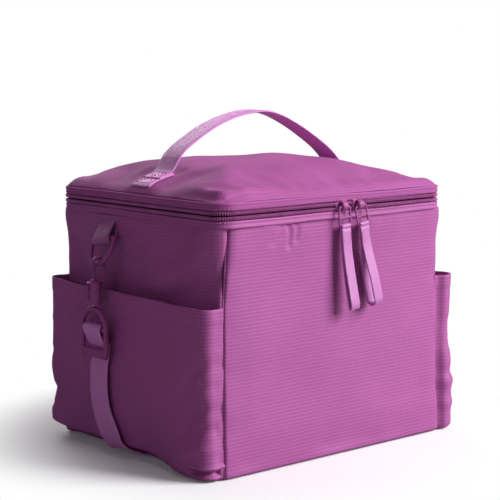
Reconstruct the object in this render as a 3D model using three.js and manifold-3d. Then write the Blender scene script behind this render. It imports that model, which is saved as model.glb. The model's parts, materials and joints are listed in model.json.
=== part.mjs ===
// A box-shaped soft carry bag: an insulated body, a zip-around padded lid that is hinged at the back,
// a webbing top handle, a gusseted pocket on each end, and a shoulder strap clipped to two D rings.
// Millimetres, +X right, +Y back, +Z up. The origin is the middle of the underside of the base.

import * as THREE from 'three';
import { mergeVertices } from 'three/addons/utils/BufferGeometryUtils.js';
import Module from 'manifold-3d';

const wasm = await Module();
wasm.setup();

// ---- driving dimensions ----

const WIDTH = 256;
const DEPTH = 218;
const BODY_CORNER = 10;
const BAND_CORNER = 13;
const BAND_OUT = 3;
const GAP = 0.3;

const BASE_THICK = 5;
const BOARD_THICK = 2;
const BASE_FOAM_THICK = 6;
const BASE_GROOVE_HALF = 14.5;
const BASE_GROOVE_DEPTH = 2.4;
const PANEL_THICK = 1.4;
const PANEL_TOP = 204.7;
const FOAM_DROP = 0.7;
const FOAM_OUTSIDE = -1.8;
const FOAM_INSIDE = -8;
const LINER_OUTSIDE = -8.4;
const LINER_INSIDE = -9.6;
const LINER_THICK = 1.2;

const BAND_BOTTOM = 205;
const BAND_TOP = 225;
const ZIP_LINE = 215;
const FACING_HEIGHT = 6;
const FACING_OUTSIDE = BAND_OUT + 1;
const FACING_INSIDE = BAND_OUT - 0.6;
const FLANGE_THICK = 1.2;
const TAPE_OUTSIDE = BAND_OUT - 0.9;
const TAPE_INSIDE = BAND_OUT - 1.9;
const COIL_OUTSIDE = BAND_OUT + 1.6;
const COIL_HEIGHT = 3.1;
const COIL_SPLIT = 0.6;
const TAPE_SPLIT = COIL_SPLIT + 0.1;
const ZIP_END_X = 90;
const HINGE_HALF = 88;

const CROWN_BASE = BAND_TOP + GAP;
const CROWN_SHOULDER = 8;
const CROWN_SHOULDER_RUN = 6;
const CROWN_DOME = 18;
const LID_THICK = 1.6;
const LID_FOAM_DROP = 2.3;
const LID_INSET = 4.5;
const LID_LINER_LOW = 7;
const LID_FOAM_LOW = 5.4;

const WEB_WIDTH = 25;
const WEB_THICK = 1.6;
const HANDLE_END_X = 97;
const HANDLE_PATCH_LENGTH = 27;
const HANDLE_PIVOT_Z = 242.8;
const HANDLE_FOLD = THREE.MathUtils.degToRad(50);

const POCKET_PROUD = 15.5;
const POCKET_HALF = 107;
const POCKET_BOTTOM = 2.6;
const POCKET_TOP = 143;
const POCKET_WALL = 1.2;
const POCKET_MOUTH_OUT = 1.4;
const POCKET_MOUTH_OVER = 1;
const POCKET_CORNER = 8;
const POCKET_FOOT_GAP = 0.4;
const POCKET_BACK_MARGIN = 1.2;

const SLIDER_LEFT_X = 1;
const SLIDER_RIGHT_X = 20;
const SLIDER_HALF = 6.5;
const SLIDER_LOW = 209.6;
const SLIDER_HIGH = 219.8;
const SLIDER_ROUNDING = 3;
const SLIDER_INNER_HALF = 6;
const SLIDER_INNER_LOW = 210.4;
const SLIDER_INNER_HIGH = 219.4;
const SLIDER_INNER_BEHIND = 3.3;
const SLIDER_INNER_THICK = 0.8;
const WEDGE_HALF = 3;
const WEDGE_HALF_HEIGHT = 0.3;
const ARCH_HALF_WIDTH = 1.5;
const ARCH_HALF_HEIGHT = 4.4;
const ARCH_WALL = 1;
const TAB_LENGTH = 17;
const TAB_WIDTH = 14.2;
const TAB_WIRE = 1.5;
const TAB_ROUNDING = 2.4;
const TAB_WINDOW_ROUNDING = 1;
const TAB_CROSS_BAR = 8.4;
const LEFT_TAB_TILT = THREE.MathUtils.degToRad(4);
const RIGHT_TAB_TILT = THREE.MathUtils.degToRad(14);
const LEFT_LOOP_TILT = THREE.MathUtils.degToRad(5.5);
const RIGHT_LOOP_TILT = THREE.MathUtils.degToRad(10);
const LOOP_WIDTH = 10.6;
const LOOP_LENGTH = 72;
const LOOP_THICK = 2.6;
const LOOP_FOLD = 2.2;
const LOOP_FOLD_WALL = 1.2;
const LOOP_CLOSES_BELOW = 14;

const RING_BAR = new THREE.Vector3(-140, 33.5, 184.5);
const RING_HALF_WIDTH = 16;
const RING_SIDE = 6.6;
const RING_WIRE = 4;
const RING_SLOPE = THREE.MathUtils.degToRad(25);
const RING_LEAN = THREE.MathUtils.degToRad(12);
const RING_CORNER = 2;
const RING_BEVEL = 0.8;
const RING_TAB_HOLE = 2.7;
const RING_TAB_OUTER = 4.3;
const RING_TAB_TAIL_X = 9.6;
const RING_TAB_TAIL_Z = 16.5;
const RING_TAB_TAIL_HALF = 1.7;

const CLIP_X = -154.2;
const HOOK_INNER_RADIUS = 4.7;
const RING_REST = 0.2;
const HOOK_THICK = 2.2;
const HOOK_WIDTH = 4.8;
const HOOK_TIP_Z = 161.6;
const HOOK_FOOT_HEIGHT = 4;
const BARREL_BOTTOM = 130;
const BARREL_TOP = 150;
const BARREL_RADIUS_X = 5.2;
const BARREL_RADIUS_Y = 7.5;
const SWIVEL_HOLE_RADIUS = 2.2;
const SWIVEL_SEAT_RADIUS = 3;
const SWIVEL_SEAT_LOW = 131.5;
const SWIVEL_SEAT_HIGH = 134;
const BORE_RADIUS = 2.1;
const SLOT_HALF = 1.7;
const SLOT_LOW = 136;
const SLOT_HIGH = 147.4;
const SLOT_REACH = 9;
const PIN_RADIUS = 1.5;
const PIN_LOW = 140.1;
const PIN_HIGH = 161.1;
const KNOB_HALF = 1.3;
const KNOB_LOW = 142.6;
const KNOB_HIGH = 146.8;
const KNOB_REACH = 7.4;
const KNOB_DEPTH = 7;
const SWIVEL_PIN_RADIUS = 1.8;
const SWIVEL_PIN_LOW = 128.8;
const SWIVEL_HEAD_RADIUS = 2.6;
const SWIVEL_HEAD_LOW = 132;
const SWIVEL_HEAD_HIGH = 133.6;
const BUCKLE_TOP = 128.5;
const BUCKLE_BOTTOM = 84;
const BUCKLE_WIDTH = 38;
const BUCKLE_THICK = 4.4;
const BUCKLE_BAR_Z = 109.5;
const BUCKLE_RIM = 4;
const BUCKLE_CORNER = 3;
const BUCKLE_BAR_HALF = 2.2;
const BUCKLE_LOW_BAR = 8.4;
const BUCKLE_BEVEL = 0.8;
const BUCKLE_SLOT_ROUNDING = 1.5;
const FOLD_HOLE = 3.5;
const FOLD_OUTER = 5.1;
const FOLD_TAIL_X = 4.4;
const FOLD_TAIL_Z = -15.4;
const FOLD_TAIL_HALF = 1.5;

const SPRING_TURNS = 3;
const SPRING_STEPS = 8;
const SPRING_LOW = 135;
const SPRING_HEIGHT = 4;
const SPRING_RADIUS = 1.5;
const SPRING_WIRE = 0.3;

const STRAP_X = -146.8;
const STRAP_BASE_Y = -19;
const STRAP_BASE_LIFT = 0.3;
const STRAP_END_FRONT = -12;
const STRAP_END_BACK = 20;

const FABRIC = 0xb764a6;
const FABRIC_DARK = 0x8f4a82;
const WEBBING = 0xc672b4;
const PLASTIC = 0xa85597;
const FOAM = 0xe9e6e0;
const BOARD = 0x3a3a3d;
const LINER = 0xb9bcc2;
const STEEL = 0x9a9ca0;

const bag = new THREE.Group();

// ---- small helpers ----

function add(name, geometry, color, roughness = 0.8, metalness = 0) {
  const material = new THREE.MeshStandardMaterial({ color, roughness, metalness });
  const mesh = new THREE.Mesh(geometry, material);
  mesh.name = name;
  bag.add(mesh);
}

function addPair(name, geometry, color, roughness, metalness) {
  add(`left_${name}`, geometry, color, roughness, metalness);
  add(`right_${name}`, mirrored(geometry), color, roughness, metalness);
}

function mirrored(geometry) {
  const copy = geometry.index ? geometry.toNonIndexed() : geometry.clone();
  const position = copy.attributes.position;
  const corner = [new THREE.Vector3(), new THREE.Vector3(), new THREE.Vector3()];
  for (let i = 0; i < position.count; i += 3) {
    corner.forEach((point, k) => point.fromBufferAttribute(position, i + k));
    corner.forEach((point, k) => position.setXYZ(i + 2 - k, -point.x, point.y, point.z));
  }
  return copy;
}

function toSolid(geometry) {
  const plain = geometry.clone();
  plain.deleteAttribute('normal');
  plain.deleteAttribute('uv');
  const merged = mergeVertices(plain, 1e-4);
  const vertProperties = new Float32Array(merged.attributes.position.array);
  const triVerts = new Uint32Array(merged.index.array);
  return new wasm.Manifold(new wasm.Mesh({ numProp: 3, vertProperties, triVerts }));
}

function toGeometry(solid) {
  const mesh = solid.getMesh();
  const geometry = new THREE.BufferGeometry();
  geometry.setAttribute('position', new THREE.BufferAttribute(mesh.vertProperties, 3));
  geometry.setIndex(new THREE.BufferAttribute(mesh.triVerts, 1));
  return geometry;
}

function join(...geometries) {
  const solids = geometries.map(toSolid);
  return toGeometry(solids.reduce((whole, next) => whole.add(next)));
}

function cut(geometry, ...tools) {
  const solids = [geometry, ...tools].map(toSolid);
  return toGeometry(solids.reduce((whole, next) => whole.subtract(next)));
}

function block(x0, x1, y0, y1, z0, z1) {
  const geometry = new THREE.BoxGeometry(x1 - x0, y1 - y0, z1 - z0);
  return geometry.translate((x0 + x1) / 2, (y0 + y1) / 2, (z0 + z1) / 2);
}

// A unit block cut into steps, with every vertex moved to place(u, v, w), where each runs from 0 to 1.
function formed(stepsU, stepsV, place) {
  const geometry = new THREE.BoxGeometry(1, 1, 1, stepsU, stepsV, 1);
  const position = geometry.attributes.position;
  for (let i = 0; i < position.count; i += 1) {
    const u = position.getX(i) + 0.5;
    const v = position.getY(i) + 0.5;
    const w = position.getZ(i) + 0.5;
    position.setXYZ(i, ...place(u, v, w));
  }
  return geometry;
}

function upright(shape, z0, z1) {
  const options = { depth: z1 - z0, bevelEnabled: false };
  return new THREE.ExtrudeGeometry(shape, options).translate(0, 0, z0);
}

// A shape drawn with its x along the bag's X and its y along Z, given a thickness along Y.
function facingFront(shape, yBack, thick, bevel = 0) {
  const options = {
    depth: thick - 2 * bevel,
    bevelEnabled: bevel > 0,
    bevelSize: bevel,
    bevelOffset: -bevel,
    bevelThickness: bevel,
    bevelSegments: 1,
  };
  const geometry = new THREE.ExtrudeGeometry(shape, options);
  return geometry.rotateX(Math.PI / 2).translate(0, yBack - bevel, 0);
}

// A shape drawn with its x along the bag's Y and its y along Z, given a thickness along X.
function facingSide(shape, xLow, thick, bevel = 0) {
  const options = {
    depth: thick - 2 * bevel,
    bevelEnabled: bevel > 0,
    bevelSize: bevel,
    bevelOffset: -bevel,
    bevelThickness: bevel,
    bevelSegments: 1,
  };
  const geometry = new THREE.ExtrudeGeometry(shape, options);
  geometry.rotateX(Math.PI / 2).rotateZ(Math.PI / 2);
  return geometry.translate(xLow + bevel, 0, 0);
}

// Points along an arc of a flat drawing, with its angles in degrees.
function arc(x, y, radius, from, to, steps) {
  const points = [];
  for (let i = 0; i <= steps; i += 1) {
    const angle = THREE.MathUtils.degToRad(from + ((to - from) * i) / steps);
    points.push(new THREE.Vector2(x + radius * Math.cos(angle), y + radius * Math.sin(angle)));
  }
  return points;
}

function roundedPoints(x0, x1, y0, y1, r, steps) {
  return [
    ...arc(x1 - r, y0 + r, r, -90, 0, steps),
    ...arc(x1 - r, y1 - r, r, 0, 90, steps),
    ...arc(x0 + r, y1 - r, r, 90, 180, steps),
    ...arc(x0 + r, y0 + r, r, 180, 270, steps),
  ];
}

function roundedShape(x0, x1, y0, y1, r, steps = 3) {
  return new THREE.Shape(roundedPoints(x0, x1, y0, y1, r, steps));
}

// The bag's plan outline, grown outward by offset. The zip band stands outside the body's walls.
function outline(offset, corner) {
  const x = WIDTH / 2 + offset;
  const y = DEPTH / 2 + offset;
  return roundedShape(-x, x, -y, y, Math.max(corner + offset, 2), 6);
}

function ringBand(outside, inside, z0, z1) {
  const shape = outline(outside, BAND_CORNER);
  shape.holes.push(outline(inside, BAND_CORNER));
  return upright(shape, z0, z1);
}

// Points along the arc of one plan corner. sideX and sideY pick the corner, angles are in degrees.
function cornerArc(sideX, sideY, corner, offset, from, to, steps = 6) {
  const x = sideX * (WIDTH / 2 - corner);
  const y = sideY * (DEPTH / 2 - corner);
  const radius = corner + offset;
  const least = 2;
  const inward = Math.max(least - radius, 0);
  return arc(x - sideX * inward, y - sideY * inward, Math.max(radius, least), from, to, steps);
}

// An upright wall that follows a plan path between two offsets.
function wall(path, outside, inside, z0, z1) {
  const shape = new THREE.Shape([...path(outside), ...path(inside).reverse()]);
  return upright(shape, z0, z1);
}

// Stacked closed rings joined into one solid, with flat caps over the first and the last.
function loft(rings) {
  const count = rings[0].length;
  const vertices = rings.flat().flatMap((point) => point.toArray());
  const index = [];
  for (let r = 0; r + 1 < rings.length; r += 1) {
    for (let k = 0; k < count; k += 1) {
      const a = r * count + k;
      const b = r * count + ((k + 1) % count);
      index.push(a, b, b + count, a, b + count, a + count);
    }
  }
  const capOver = (ring, start, flip) => {
    const flat = ring.map((point) => new THREE.Vector2(point.x, point.y));
    THREE.ShapeUtils.triangulateShape(flat, []).forEach(([a, b, c]) => {
      index.push(start + (flip ? c : a), start + b, start + (flip ? a : c));
    });
  };
  capOver(rings[0], 0, true);
  capOver(rings[rings.length - 1], (rings.length - 1) * count, false);
  const geometry = new THREE.BufferGeometry();
  geometry.setAttribute('position', new THREE.Float32BufferAttribute(vertices, 3));
  geometry.setIndex(index);
  return geometry;
}

// ---- body of the bag ----

// Half of each upright corner belongs to each wall, with a small seam gap in the middle of the corner.
const SEAM = THREE.MathUtils.radToDeg(GAP / BODY_CORNER);

function frontPath(offset) {
  const left = cornerArc(-1, -1, BODY_CORNER, offset, 225 + SEAM, 270, 3);
  return [...left, ...cornerArc(1, -1, BODY_CORNER, offset, 270, 315 - SEAM, 3)];
}

function leftPath(offset) {
  const back = cornerArc(-1, 1, BODY_CORNER, offset, 135 + SEAM, 180, 3);
  return [...back, ...cornerArc(-1, -1, BODY_CORNER, offset, 180, 225 - SEAM, 3)];
}

function turned(geometry) {
  return geometry.rotateZ(Math.PI);
}

function addShell() {
  const bottom = BASE_THICK + GAP;
  const panel = (path) => wall(path, 0, -PANEL_THICK, bottom, PANEL_TOP);
  add('front_panel', panel(frontPath), FABRIC);
  add('back_panel', turned(panel(frontPath)), FABRIC);
  add('left_panel', panel(leftPath), FABRIC_DARK);
  add('right_panel', turned(panel(leftPath)), FABRIC_DARK);
}

function addBase() {
  const front = STRAP_BASE_Y - BASE_GROOVE_HALF;
  const back = STRAP_BASE_Y + BASE_GROOVE_HALF;
  const groove = block(-WIDTH, WIDTH, front, back, -1, BASE_GROOVE_DEPTH);
  add('base_panel', cut(upright(outline(0, BODY_CORNER), 0, BASE_THICK), groove), FABRIC_DARK);
  const boardBottom = BASE_THICK + GAP;
  const boardTop = boardBottom + BOARD_THICK;
  add('base_board', upright(outline(FOAM_OUTSIDE, BODY_CORNER), boardBottom, boardTop), BOARD, 0.6);
  const foamBottom = boardTop + GAP;
  const foamTop = foamBottom + BASE_FOAM_THICK;
  add('base_foam', upright(outline(FOAM_OUTSIDE, BODY_CORNER), foamBottom, foamTop), FOAM, 0.9);
}

function addFoamAndLiner() {
  const floor = BASE_THICK + BOARD_THICK + BASE_FOAM_THICK + 3 * GAP;
  const pad = (path) => wall(path, FOAM_OUTSIDE, FOAM_INSIDE, floor, PANEL_TOP - FOAM_DROP);
  add('front_foam', pad(frontPath), FOAM, 0.9);
  add('back_foam', turned(pad(frontPath)), FOAM, 0.9);
  add('left_foam', pad(leftPath), FOAM, 0.9);
  add('right_foam', turned(pad(leftPath)), FOAM, 0.9);
  const tub = upright(outline(LINER_OUTSIDE, BODY_CORNER), floor, PANEL_TOP - GAP);
  const inside = outline(LINER_INSIDE, BODY_CORNER);
  const hollow = upright(inside, floor + LINER_THICK, PANEL_TOP + 1);
  add('liner_tub', cut(tub, hollow), LINER, 0.35);
}

// ---- zip ----

// From the back, round the left end, along the front and round the right end to the back again.
function zipPath(offset) {
  const back = DEPTH / 2 + offset;
  return [
    new THREE.Vector2(-ZIP_END_X, back),
    ...cornerArc(-1, 1, BAND_CORNER, offset, 90, 180),
    ...cornerArc(-1, -1, BAND_CORNER, offset, 180, 270),
    ...cornerArc(1, -1, BAND_CORNER, offset, 270, 360),
    ...cornerArc(1, 1, BAND_CORNER, offset, 0, 90),
    new THREE.Vector2(ZIP_END_X, back),
  ];
}

function addZip() {
  const half = COIL_HEIGHT + COIL_SPLIT;
  const facingTop = BAND_BOTTOM + FACING_HEIGHT;
  const facingLow = BAND_TOP - FACING_HEIGHT;
  const tape = (z0, z1) => wall(zipPath, TAPE_OUTSIDE, TAPE_INSIDE, z0, z1);
  const coil = (z0, z1) => wall(zipPath, COIL_OUTSIDE, FACING_INSIDE, z0, z1);
  const flangeTop = BAND_BOTTOM + FLANGE_THICK;
  const flange = ringBand(FACING_OUTSIDE, -PANEL_THICK, BAND_BOTTOM, flangeTop);
  const lowerWall = ringBand(FACING_OUTSIDE, FACING_INSIDE, BAND_BOTTOM, facingTop);
  add('lower_zip_facing', join(flange, lowerWall), FABRIC);
  add('upper_zip_facing', ringBand(FACING_OUTSIDE, FACING_INSIDE, facingLow, BAND_TOP), FABRIC);
  add('lower_zip_tape', tape(flangeTop + GAP, ZIP_LINE - TAPE_SPLIT), WEBBING);
  add('upper_zip_tape', tape(ZIP_LINE + TAPE_SPLIT, BAND_TOP), WEBBING);
  add('lower_zip_coil', coil(ZIP_LINE - half, ZIP_LINE - COIL_SPLIT), PLASTIC, 0.45);
  add('upper_zip_coil', coil(ZIP_LINE + COIL_SPLIT, ZIP_LINE + half), PLASTIC, 0.45);
}

// The fabric that joins the lid to the body where the zip stops.
function addHingeStrip() {
  const outside = DEPTH / 2 + TAPE_OUTSIDE;
  const inside = DEPTH / 2 + TAPE_INSIDE;
  const bottom = BAND_BOTTOM + FLANGE_THICK + GAP;
  add('hinge_strip', block(-HINGE_HALF, HINGE_HALF, inside, outside, bottom, BAND_TOP), FABRIC);
}

// ---- sliders, pull tabs and pull loops ----

const PLATE_CLEARANCE = 2.2;
const PLATE_BACK = -DEPTH / 2 - BAND_OUT - PLATE_CLEARANCE;
const PLATE_THICK = 1.2;
const ARCH_HALF_OPENING = 1.8;
const TAB_AXIS_Y = PLATE_BACK - PLATE_THICK - ARCH_HALF_OPENING;
const TAB_AXIS_Z = ZIP_LINE;

function slider(x) {
  const plate = (half, low, high) => roundedShape(-half, half, low, high, SLIDER_ROUNDING);
  const outer = facingFront(plate(SLIDER_HALF, SLIDER_LOW, SLIDER_HIGH), PLATE_BACK, PLATE_THICK);
  const innerBack = -DEPTH / 2 - BAND_OUT + SLIDER_INNER_BEHIND;
  const innerShape = plate(SLIDER_INNER_HALF, SLIDER_INNER_LOW, SLIDER_INNER_HIGH);
  const inner = facingFront(innerShape, innerBack, SLIDER_INNER_THICK);
  const bite = SLIDER_INNER_THICK / 2;
  const wedgeLow = ZIP_LINE - WEDGE_HALF_HEIGHT;
  const wedgeHigh = ZIP_LINE + WEDGE_HALF_HEIGHT;
  const wedge = block(-WEDGE_HALF, WEDGE_HALF, PLATE_BACK - bite, innerBack - bite, wedgeLow, wedgeHigh);
  const archBack = PLATE_BACK - PLATE_THICK;
  const archFront = archBack - 2 * ARCH_HALF_OPENING - ARCH_WALL;
  const frame = (half, front, back, tall) => {
    return block(-half, half, front, back, TAB_AXIS_Z - tall, TAB_AXIS_Z + tall);
  };
  const arch = frame(ARCH_HALF_WIDTH, archFront, archBack + bite, ARCH_HALF_HEIGHT);
  const openingHeight = ARCH_HALF_HEIGHT - ARCH_WALL;
  const opening = frame(2 * ARCH_HALF_WIDTH, archFront + ARCH_WALL, archBack, openingHeight);
  return join(outer, inner, wedge, cut(arch, opening)).translate(x, 0, 0);
}

// A wire frame with its top bar on the axis and its bottom bar TAB_LENGTH below.
function pullTab(x, tilt) {
  const half = TAB_WIDTH / 2;
  const wire = TAB_WIRE / 2;
  const shape = roundedShape(-half, half, -TAB_LENGTH - wire, wire, TAB_ROUNDING);
  const side = half - TAB_WIRE;
  const window = (low, high) => roundedShape(-side, side, low, high, TAB_WINDOW_ROUNDING);
  shape.holes.push(window(-TAB_CROSS_BAR, -wire));
  shape.holes.push(window(-TAB_LENGTH + wire, -TAB_CROSS_BAR - TAB_WIRE));
  const geometry = facingFront(shape, wire, TAB_WIRE);
  return geometry.rotateY(-tilt).translate(x, TAB_AXIS_Y, TAB_AXIS_Z);
}

// A webbing loop folded round the bottom bar of the tab, its two layers lying together below.
function pullLoop(x, tabTilt, loopTilt) {
  const half = LOOP_THICK / 2;
  const shape = new THREE.Shape([
    ...arc(0, 0, LOOP_FOLD + LOOP_FOLD_WALL, 0, 180, 6),
    new THREE.Vector2(-half, -LOOP_CLOSES_BELOW),
    new THREE.Vector2(-half, -LOOP_LENGTH),
    new THREE.Vector2(half, -LOOP_LENGTH),
    new THREE.Vector2(half, -LOOP_CLOSES_BELOW),
  ]);
  shape.holes.push(new THREE.Path(arc(0, 0, LOOP_FOLD, 330, 0, 11)));
  const geometry = facingSide(shape, -LOOP_WIDTH / 2, LOOP_WIDTH);
  const barX = x + TAB_LENGTH * Math.sin(tabTilt);
  const barZ = TAB_AXIS_Z - TAB_LENGTH * Math.cos(tabTilt);
  return geometry.rotateY(-loopTilt).translate(barX, TAB_AXIS_Y, barZ);
}

function addSliders() {
  add('left_slider', slider(SLIDER_LEFT_X), PLASTIC, 0.4);
  add('right_slider', slider(SLIDER_RIGHT_X), PLASTIC, 0.4);
  add('left_pull_tab', pullTab(SLIDER_LEFT_X, LEFT_TAB_TILT), PLASTIC, 0.4);
  add('right_pull_tab', pullTab(SLIDER_RIGHT_X, RIGHT_TAB_TILT), PLASTIC, 0.4);
  add('left_pull_loop', pullLoop(SLIDER_LEFT_X, LEFT_TAB_TILT, LEFT_LOOP_TILT), WEBBING);
  add('right_pull_loop', pullLoop(SLIDER_RIGHT_X, RIGHT_TAB_TILT, RIGHT_LOOP_TILT), WEBBING);
}

// ---- lid ----

// How high the pillow of the lid stands, a distance inset from its edge.
function crown(inset) {
  const shoulder = CROWN_SHOULDER * (1 - Math.exp(-inset / CROWN_SHOULDER_RUN));
  const across = Math.min(inset / (DEPTH / 2 + BAND_OUT), 1);
  return shoulder + CROWN_DOME * Math.sin((across * Math.PI) / 2) ** 1.2;
}

function insetRing(inset, z) {
  const x = WIDTH / 2 + BAND_OUT - inset;
  const y = DEPTH / 2 + BAND_OUT - inset;
  const r = Math.max(BAND_CORNER + BAND_OUT - inset, 5);
  return roundedPoints(-x, x, -y, y, r, 5).map((point) => new THREE.Vector3(point.x, point.y, z));
}

function addLid() {
  const outerSteps = [0, 2, 5, 10, 18, 30, 50, 75, 100];
  const innerSteps = [1.4, 3, 6, 11, 19, 31, 51, 76, 100];
  const outer = outerSteps.map((inset) => insetRing(inset, CROWN_BASE + crown(inset)));
  const inner = innerSteps.map((inset) => insetRing(inset, CROWN_BASE + crown(inset) - LID_THICK));
  inner.unshift(insetRing(innerSteps[0], CROWN_BASE));
  add('lid_panel', loft([...inner.reverse(), ...outer]), FABRIC);

  const foamSteps = [LID_INSET, 7, 12, 20, 32, 52, 77, 100];
  const foamTop = foamSteps.map((inset) => insetRing(inset, CROWN_BASE + crown(inset) - LID_FOAM_DROP));
  add('lid_foam', loft([insetRing(LID_INSET, BAND_TOP - LID_FOAM_LOW), ...foamTop]), FOAM, 0.9);
  const linerLow = BAND_TOP - LID_LINER_LOW;
  const liner = upright(outline(BAND_OUT - LID_INSET, BAND_CORNER), linerLow, linerLow + LINER_THICK);
  add('lid_liner', liner, LINER, 0.35);
}

// ---- top handle ----

function handlePatch() {
  const outerX = -HANDLE_END_X - HANDLE_PATCH_LENGTH;
  return formed(8, 1, (u, v, w) => {
    const x = outerX + u * HANDLE_PATCH_LENGTH;
    const top = CROWN_BASE + crown(WIDTH / 2 + BAND_OUT + x);
    return [x, (v - 0.5) * WEB_WIDTH, top + GAP + w * WEB_THICK];
  });
}

// The free span, in the XZ plane. It narrows towards its sewn ends, so that it can fold over them.
function handleSpan() {
  const curve = new THREE.CatmullRomCurve3([
    new THREE.Vector3(-HANDLE_END_X, 0, HANDLE_PIVOT_Z + 1),
    new THREE.Vector3(-94, 0, 253),
    new THREE.Vector3(-79, 0, 267),
    new THREE.Vector3(-51, 0, 282),
    new THREE.Vector3(-16, 0, 290),
    new THREE.Vector3(20, 0, 291),
    new THREE.Vector3(69.5, 0, 277),
    new THREE.Vector3(90, 0, 261),
    new THREE.Vector3(HANDLE_END_X, 0, HANDLE_PIVOT_Z + 1),
  ]);
  return formed(30, 1, (u, v, w) => {
    const point = curve.getPoint(u);
    const along = curve.getTangent(u);
    const rise = point.z - HANDLE_PIVOT_Z;
    const half = Math.min(WEB_WIDTH / 2, rise / Math.tan(HANDLE_FOLD) / 1.1);
    const out = (w - 0.5) * WEB_THICK;
    return [point.x - along.z * out, (v - 0.5) * 2 * half, point.z + along.x * out];
  });
}

function addHandle() {
  addPair('handle_patch', handlePatch(), WEBBING);
  add('handle_webbing', handleSpan(), WEBBING);
}

// ---- end pockets ----

function pocketPlan(inset) {
  const foot = -WIDTH / 2 - POCKET_FOOT_GAP;
  const outer = -WIDTH / 2 - POCKET_PROUD + inset;
  const half = POCKET_HALF - inset;
  const r = POCKET_CORNER - inset;
  return new THREE.Shape([
    new THREE.Vector2(foot, half),
    ...arc(outer + r, half - r, r, 90, 180, 4),
    ...arc(outer + r, -half + r, r, 180, 270, 4),
    new THREE.Vector2(foot, -half),
  ]);
}

function addPockets() {
  const whole = upright(pocketPlan(0), POCKET_BOTTOM, POCKET_TOP);
  const floor = POCKET_BOTTOM + POCKET_WALL;
  const hollow = upright(pocketPlan(POCKET_WALL), floor, POCKET_TOP + 1);
  const side = POCKET_HALF - POCKET_BACK_MARGIN;
  const open = block(-WIDTH / 2 - POCKET_MOUTH_OUT, 0, -side, side, floor, POCKET_TOP + POCKET_MOUTH_OVER);
  addPair('pocket', cut(whole, hollow, open), FABRIC_DARK);
}

// ---- D rings, clips and shoulder strap ----

// Folded webbing, seen from the end: a fold round a bar that narrows to its sewn tail.
function webFold(hole, outer, tailX, tailZ, tailHalf) {
  const toTail = THREE.MathUtils.radToDeg(Math.atan2(tailZ, tailX));
  const side = new THREE.Vector2(-tailZ, tailX).setLength(tailHalf);
  const shape = new THREE.Shape([
    ...arc(0, 0, outer, toTail + 90, toTail + 270, 8),
    new THREE.Vector2(tailX - side.x, tailZ - side.y),
    new THREE.Vector2(tailX + side.x, tailZ + side.y),
  ]);
  shape.holes.push(new THREE.Path(arc(0, 0, hole, 330, 0, 11)));
  return facingFront(shape, WEB_WIDTH / 2, WEB_WIDTH);
}

function placedOnBar(geometry) {
  return geometry.rotateX(-RING_LEAN).translate(RING_BAR.x, RING_BAR.y, RING_BAR.z);
}

function ringTab() {
  const tail = [RING_TAB_TAIL_X, RING_TAB_TAIL_Z, RING_TAB_TAIL_HALF];
  return placedOnBar(webFold(RING_TAB_HOLE, RING_TAB_OUTER, ...tail));
}

// A straight bar on top, straight sides and a half round below.
function dOutline(half, top) {
  return [
    ...arc(0, -RING_SIDE, half, 180, 360, 12),
    ...arc(half - RING_CORNER, top - RING_CORNER, RING_CORNER, 0, 90, 2),
    ...arc(-half + RING_CORNER, top - RING_CORNER, RING_CORNER, 90, 180, 2),
  ];
}

function dRing() {
  const wire = RING_WIRE / 2;
  const shape = new THREE.Shape(dOutline(RING_HALF_WIDTH + wire, wire));
  shape.holes.push(new THREE.Path(dOutline(RING_HALF_WIDTH - wire, -wire)));
  return placedOnBar(facingSide(shape, -wire, RING_WIRE, RING_BEVEL).rotateY(RING_SLOPE));
}

// The lowest point of the ring's wire, where the clip hangs.
function ringBottom() {
  const drop = RING_HALF_WIDTH + RING_SIDE;
  const point = new THREE.Vector3(0, 0, -drop);
  const y = new THREE.Vector3(0, 1, 0);
  const x = new THREE.Vector3(1, 0, 0);
  return point.applyAxisAngle(y, RING_SLOPE).applyAxisAngle(x, -RING_LEAN).add(RING_BAR);
}

const CLIP_Y = ringBottom().y;

// A piece turned about the clip's upright axis, from pairs of radius and height.
function turnedPiece(profile) {
  const points = profile.map(([radius, z]) => new THREE.Vector2(radius, z));
  return new THREE.LatheGeometry(points, 12).rotateX(Math.PI / 2).translate(CLIP_X, CLIP_Y, 0);
}

// The arch of the hook goes over the ring. Its short leg ends above the bolt, its long leg on the barrel.
function hookArch(centreX, centreZ) {
  const outer = HOOK_INNER_RADIUS + HOOK_THICK;
  const shoulder = BARREL_TOP - HOOK_FOOT_HEIGHT;
  const shape = new THREE.Shape([
    new THREE.Vector2(HOOK_INNER_RADIUS, shoulder - centreZ),
    new THREE.Vector2(outer, shoulder - centreZ),
    ...arc(0, 0, outer, 0, 180, 8),
    new THREE.Vector2(-outer, HOOK_TIP_Z - centreZ),
    new THREE.Vector2(-HOOK_INNER_RADIUS, HOOK_TIP_Z - centreZ),
    ...arc(0, 0, HOOK_INNER_RADIUS, 180, 0, 8),
  ]);
  const half = HOOK_WIDTH / 2;
  const arch = facingFront(shape, half, HOOK_WIDTH).translate(centreX, CLIP_Y, centreZ);
  const foot = block(CLIP_X, centreX + outer, CLIP_Y - half, CLIP_Y + half, shoulder, BARREL_TOP);
  return join(arch, foot);
}

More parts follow.
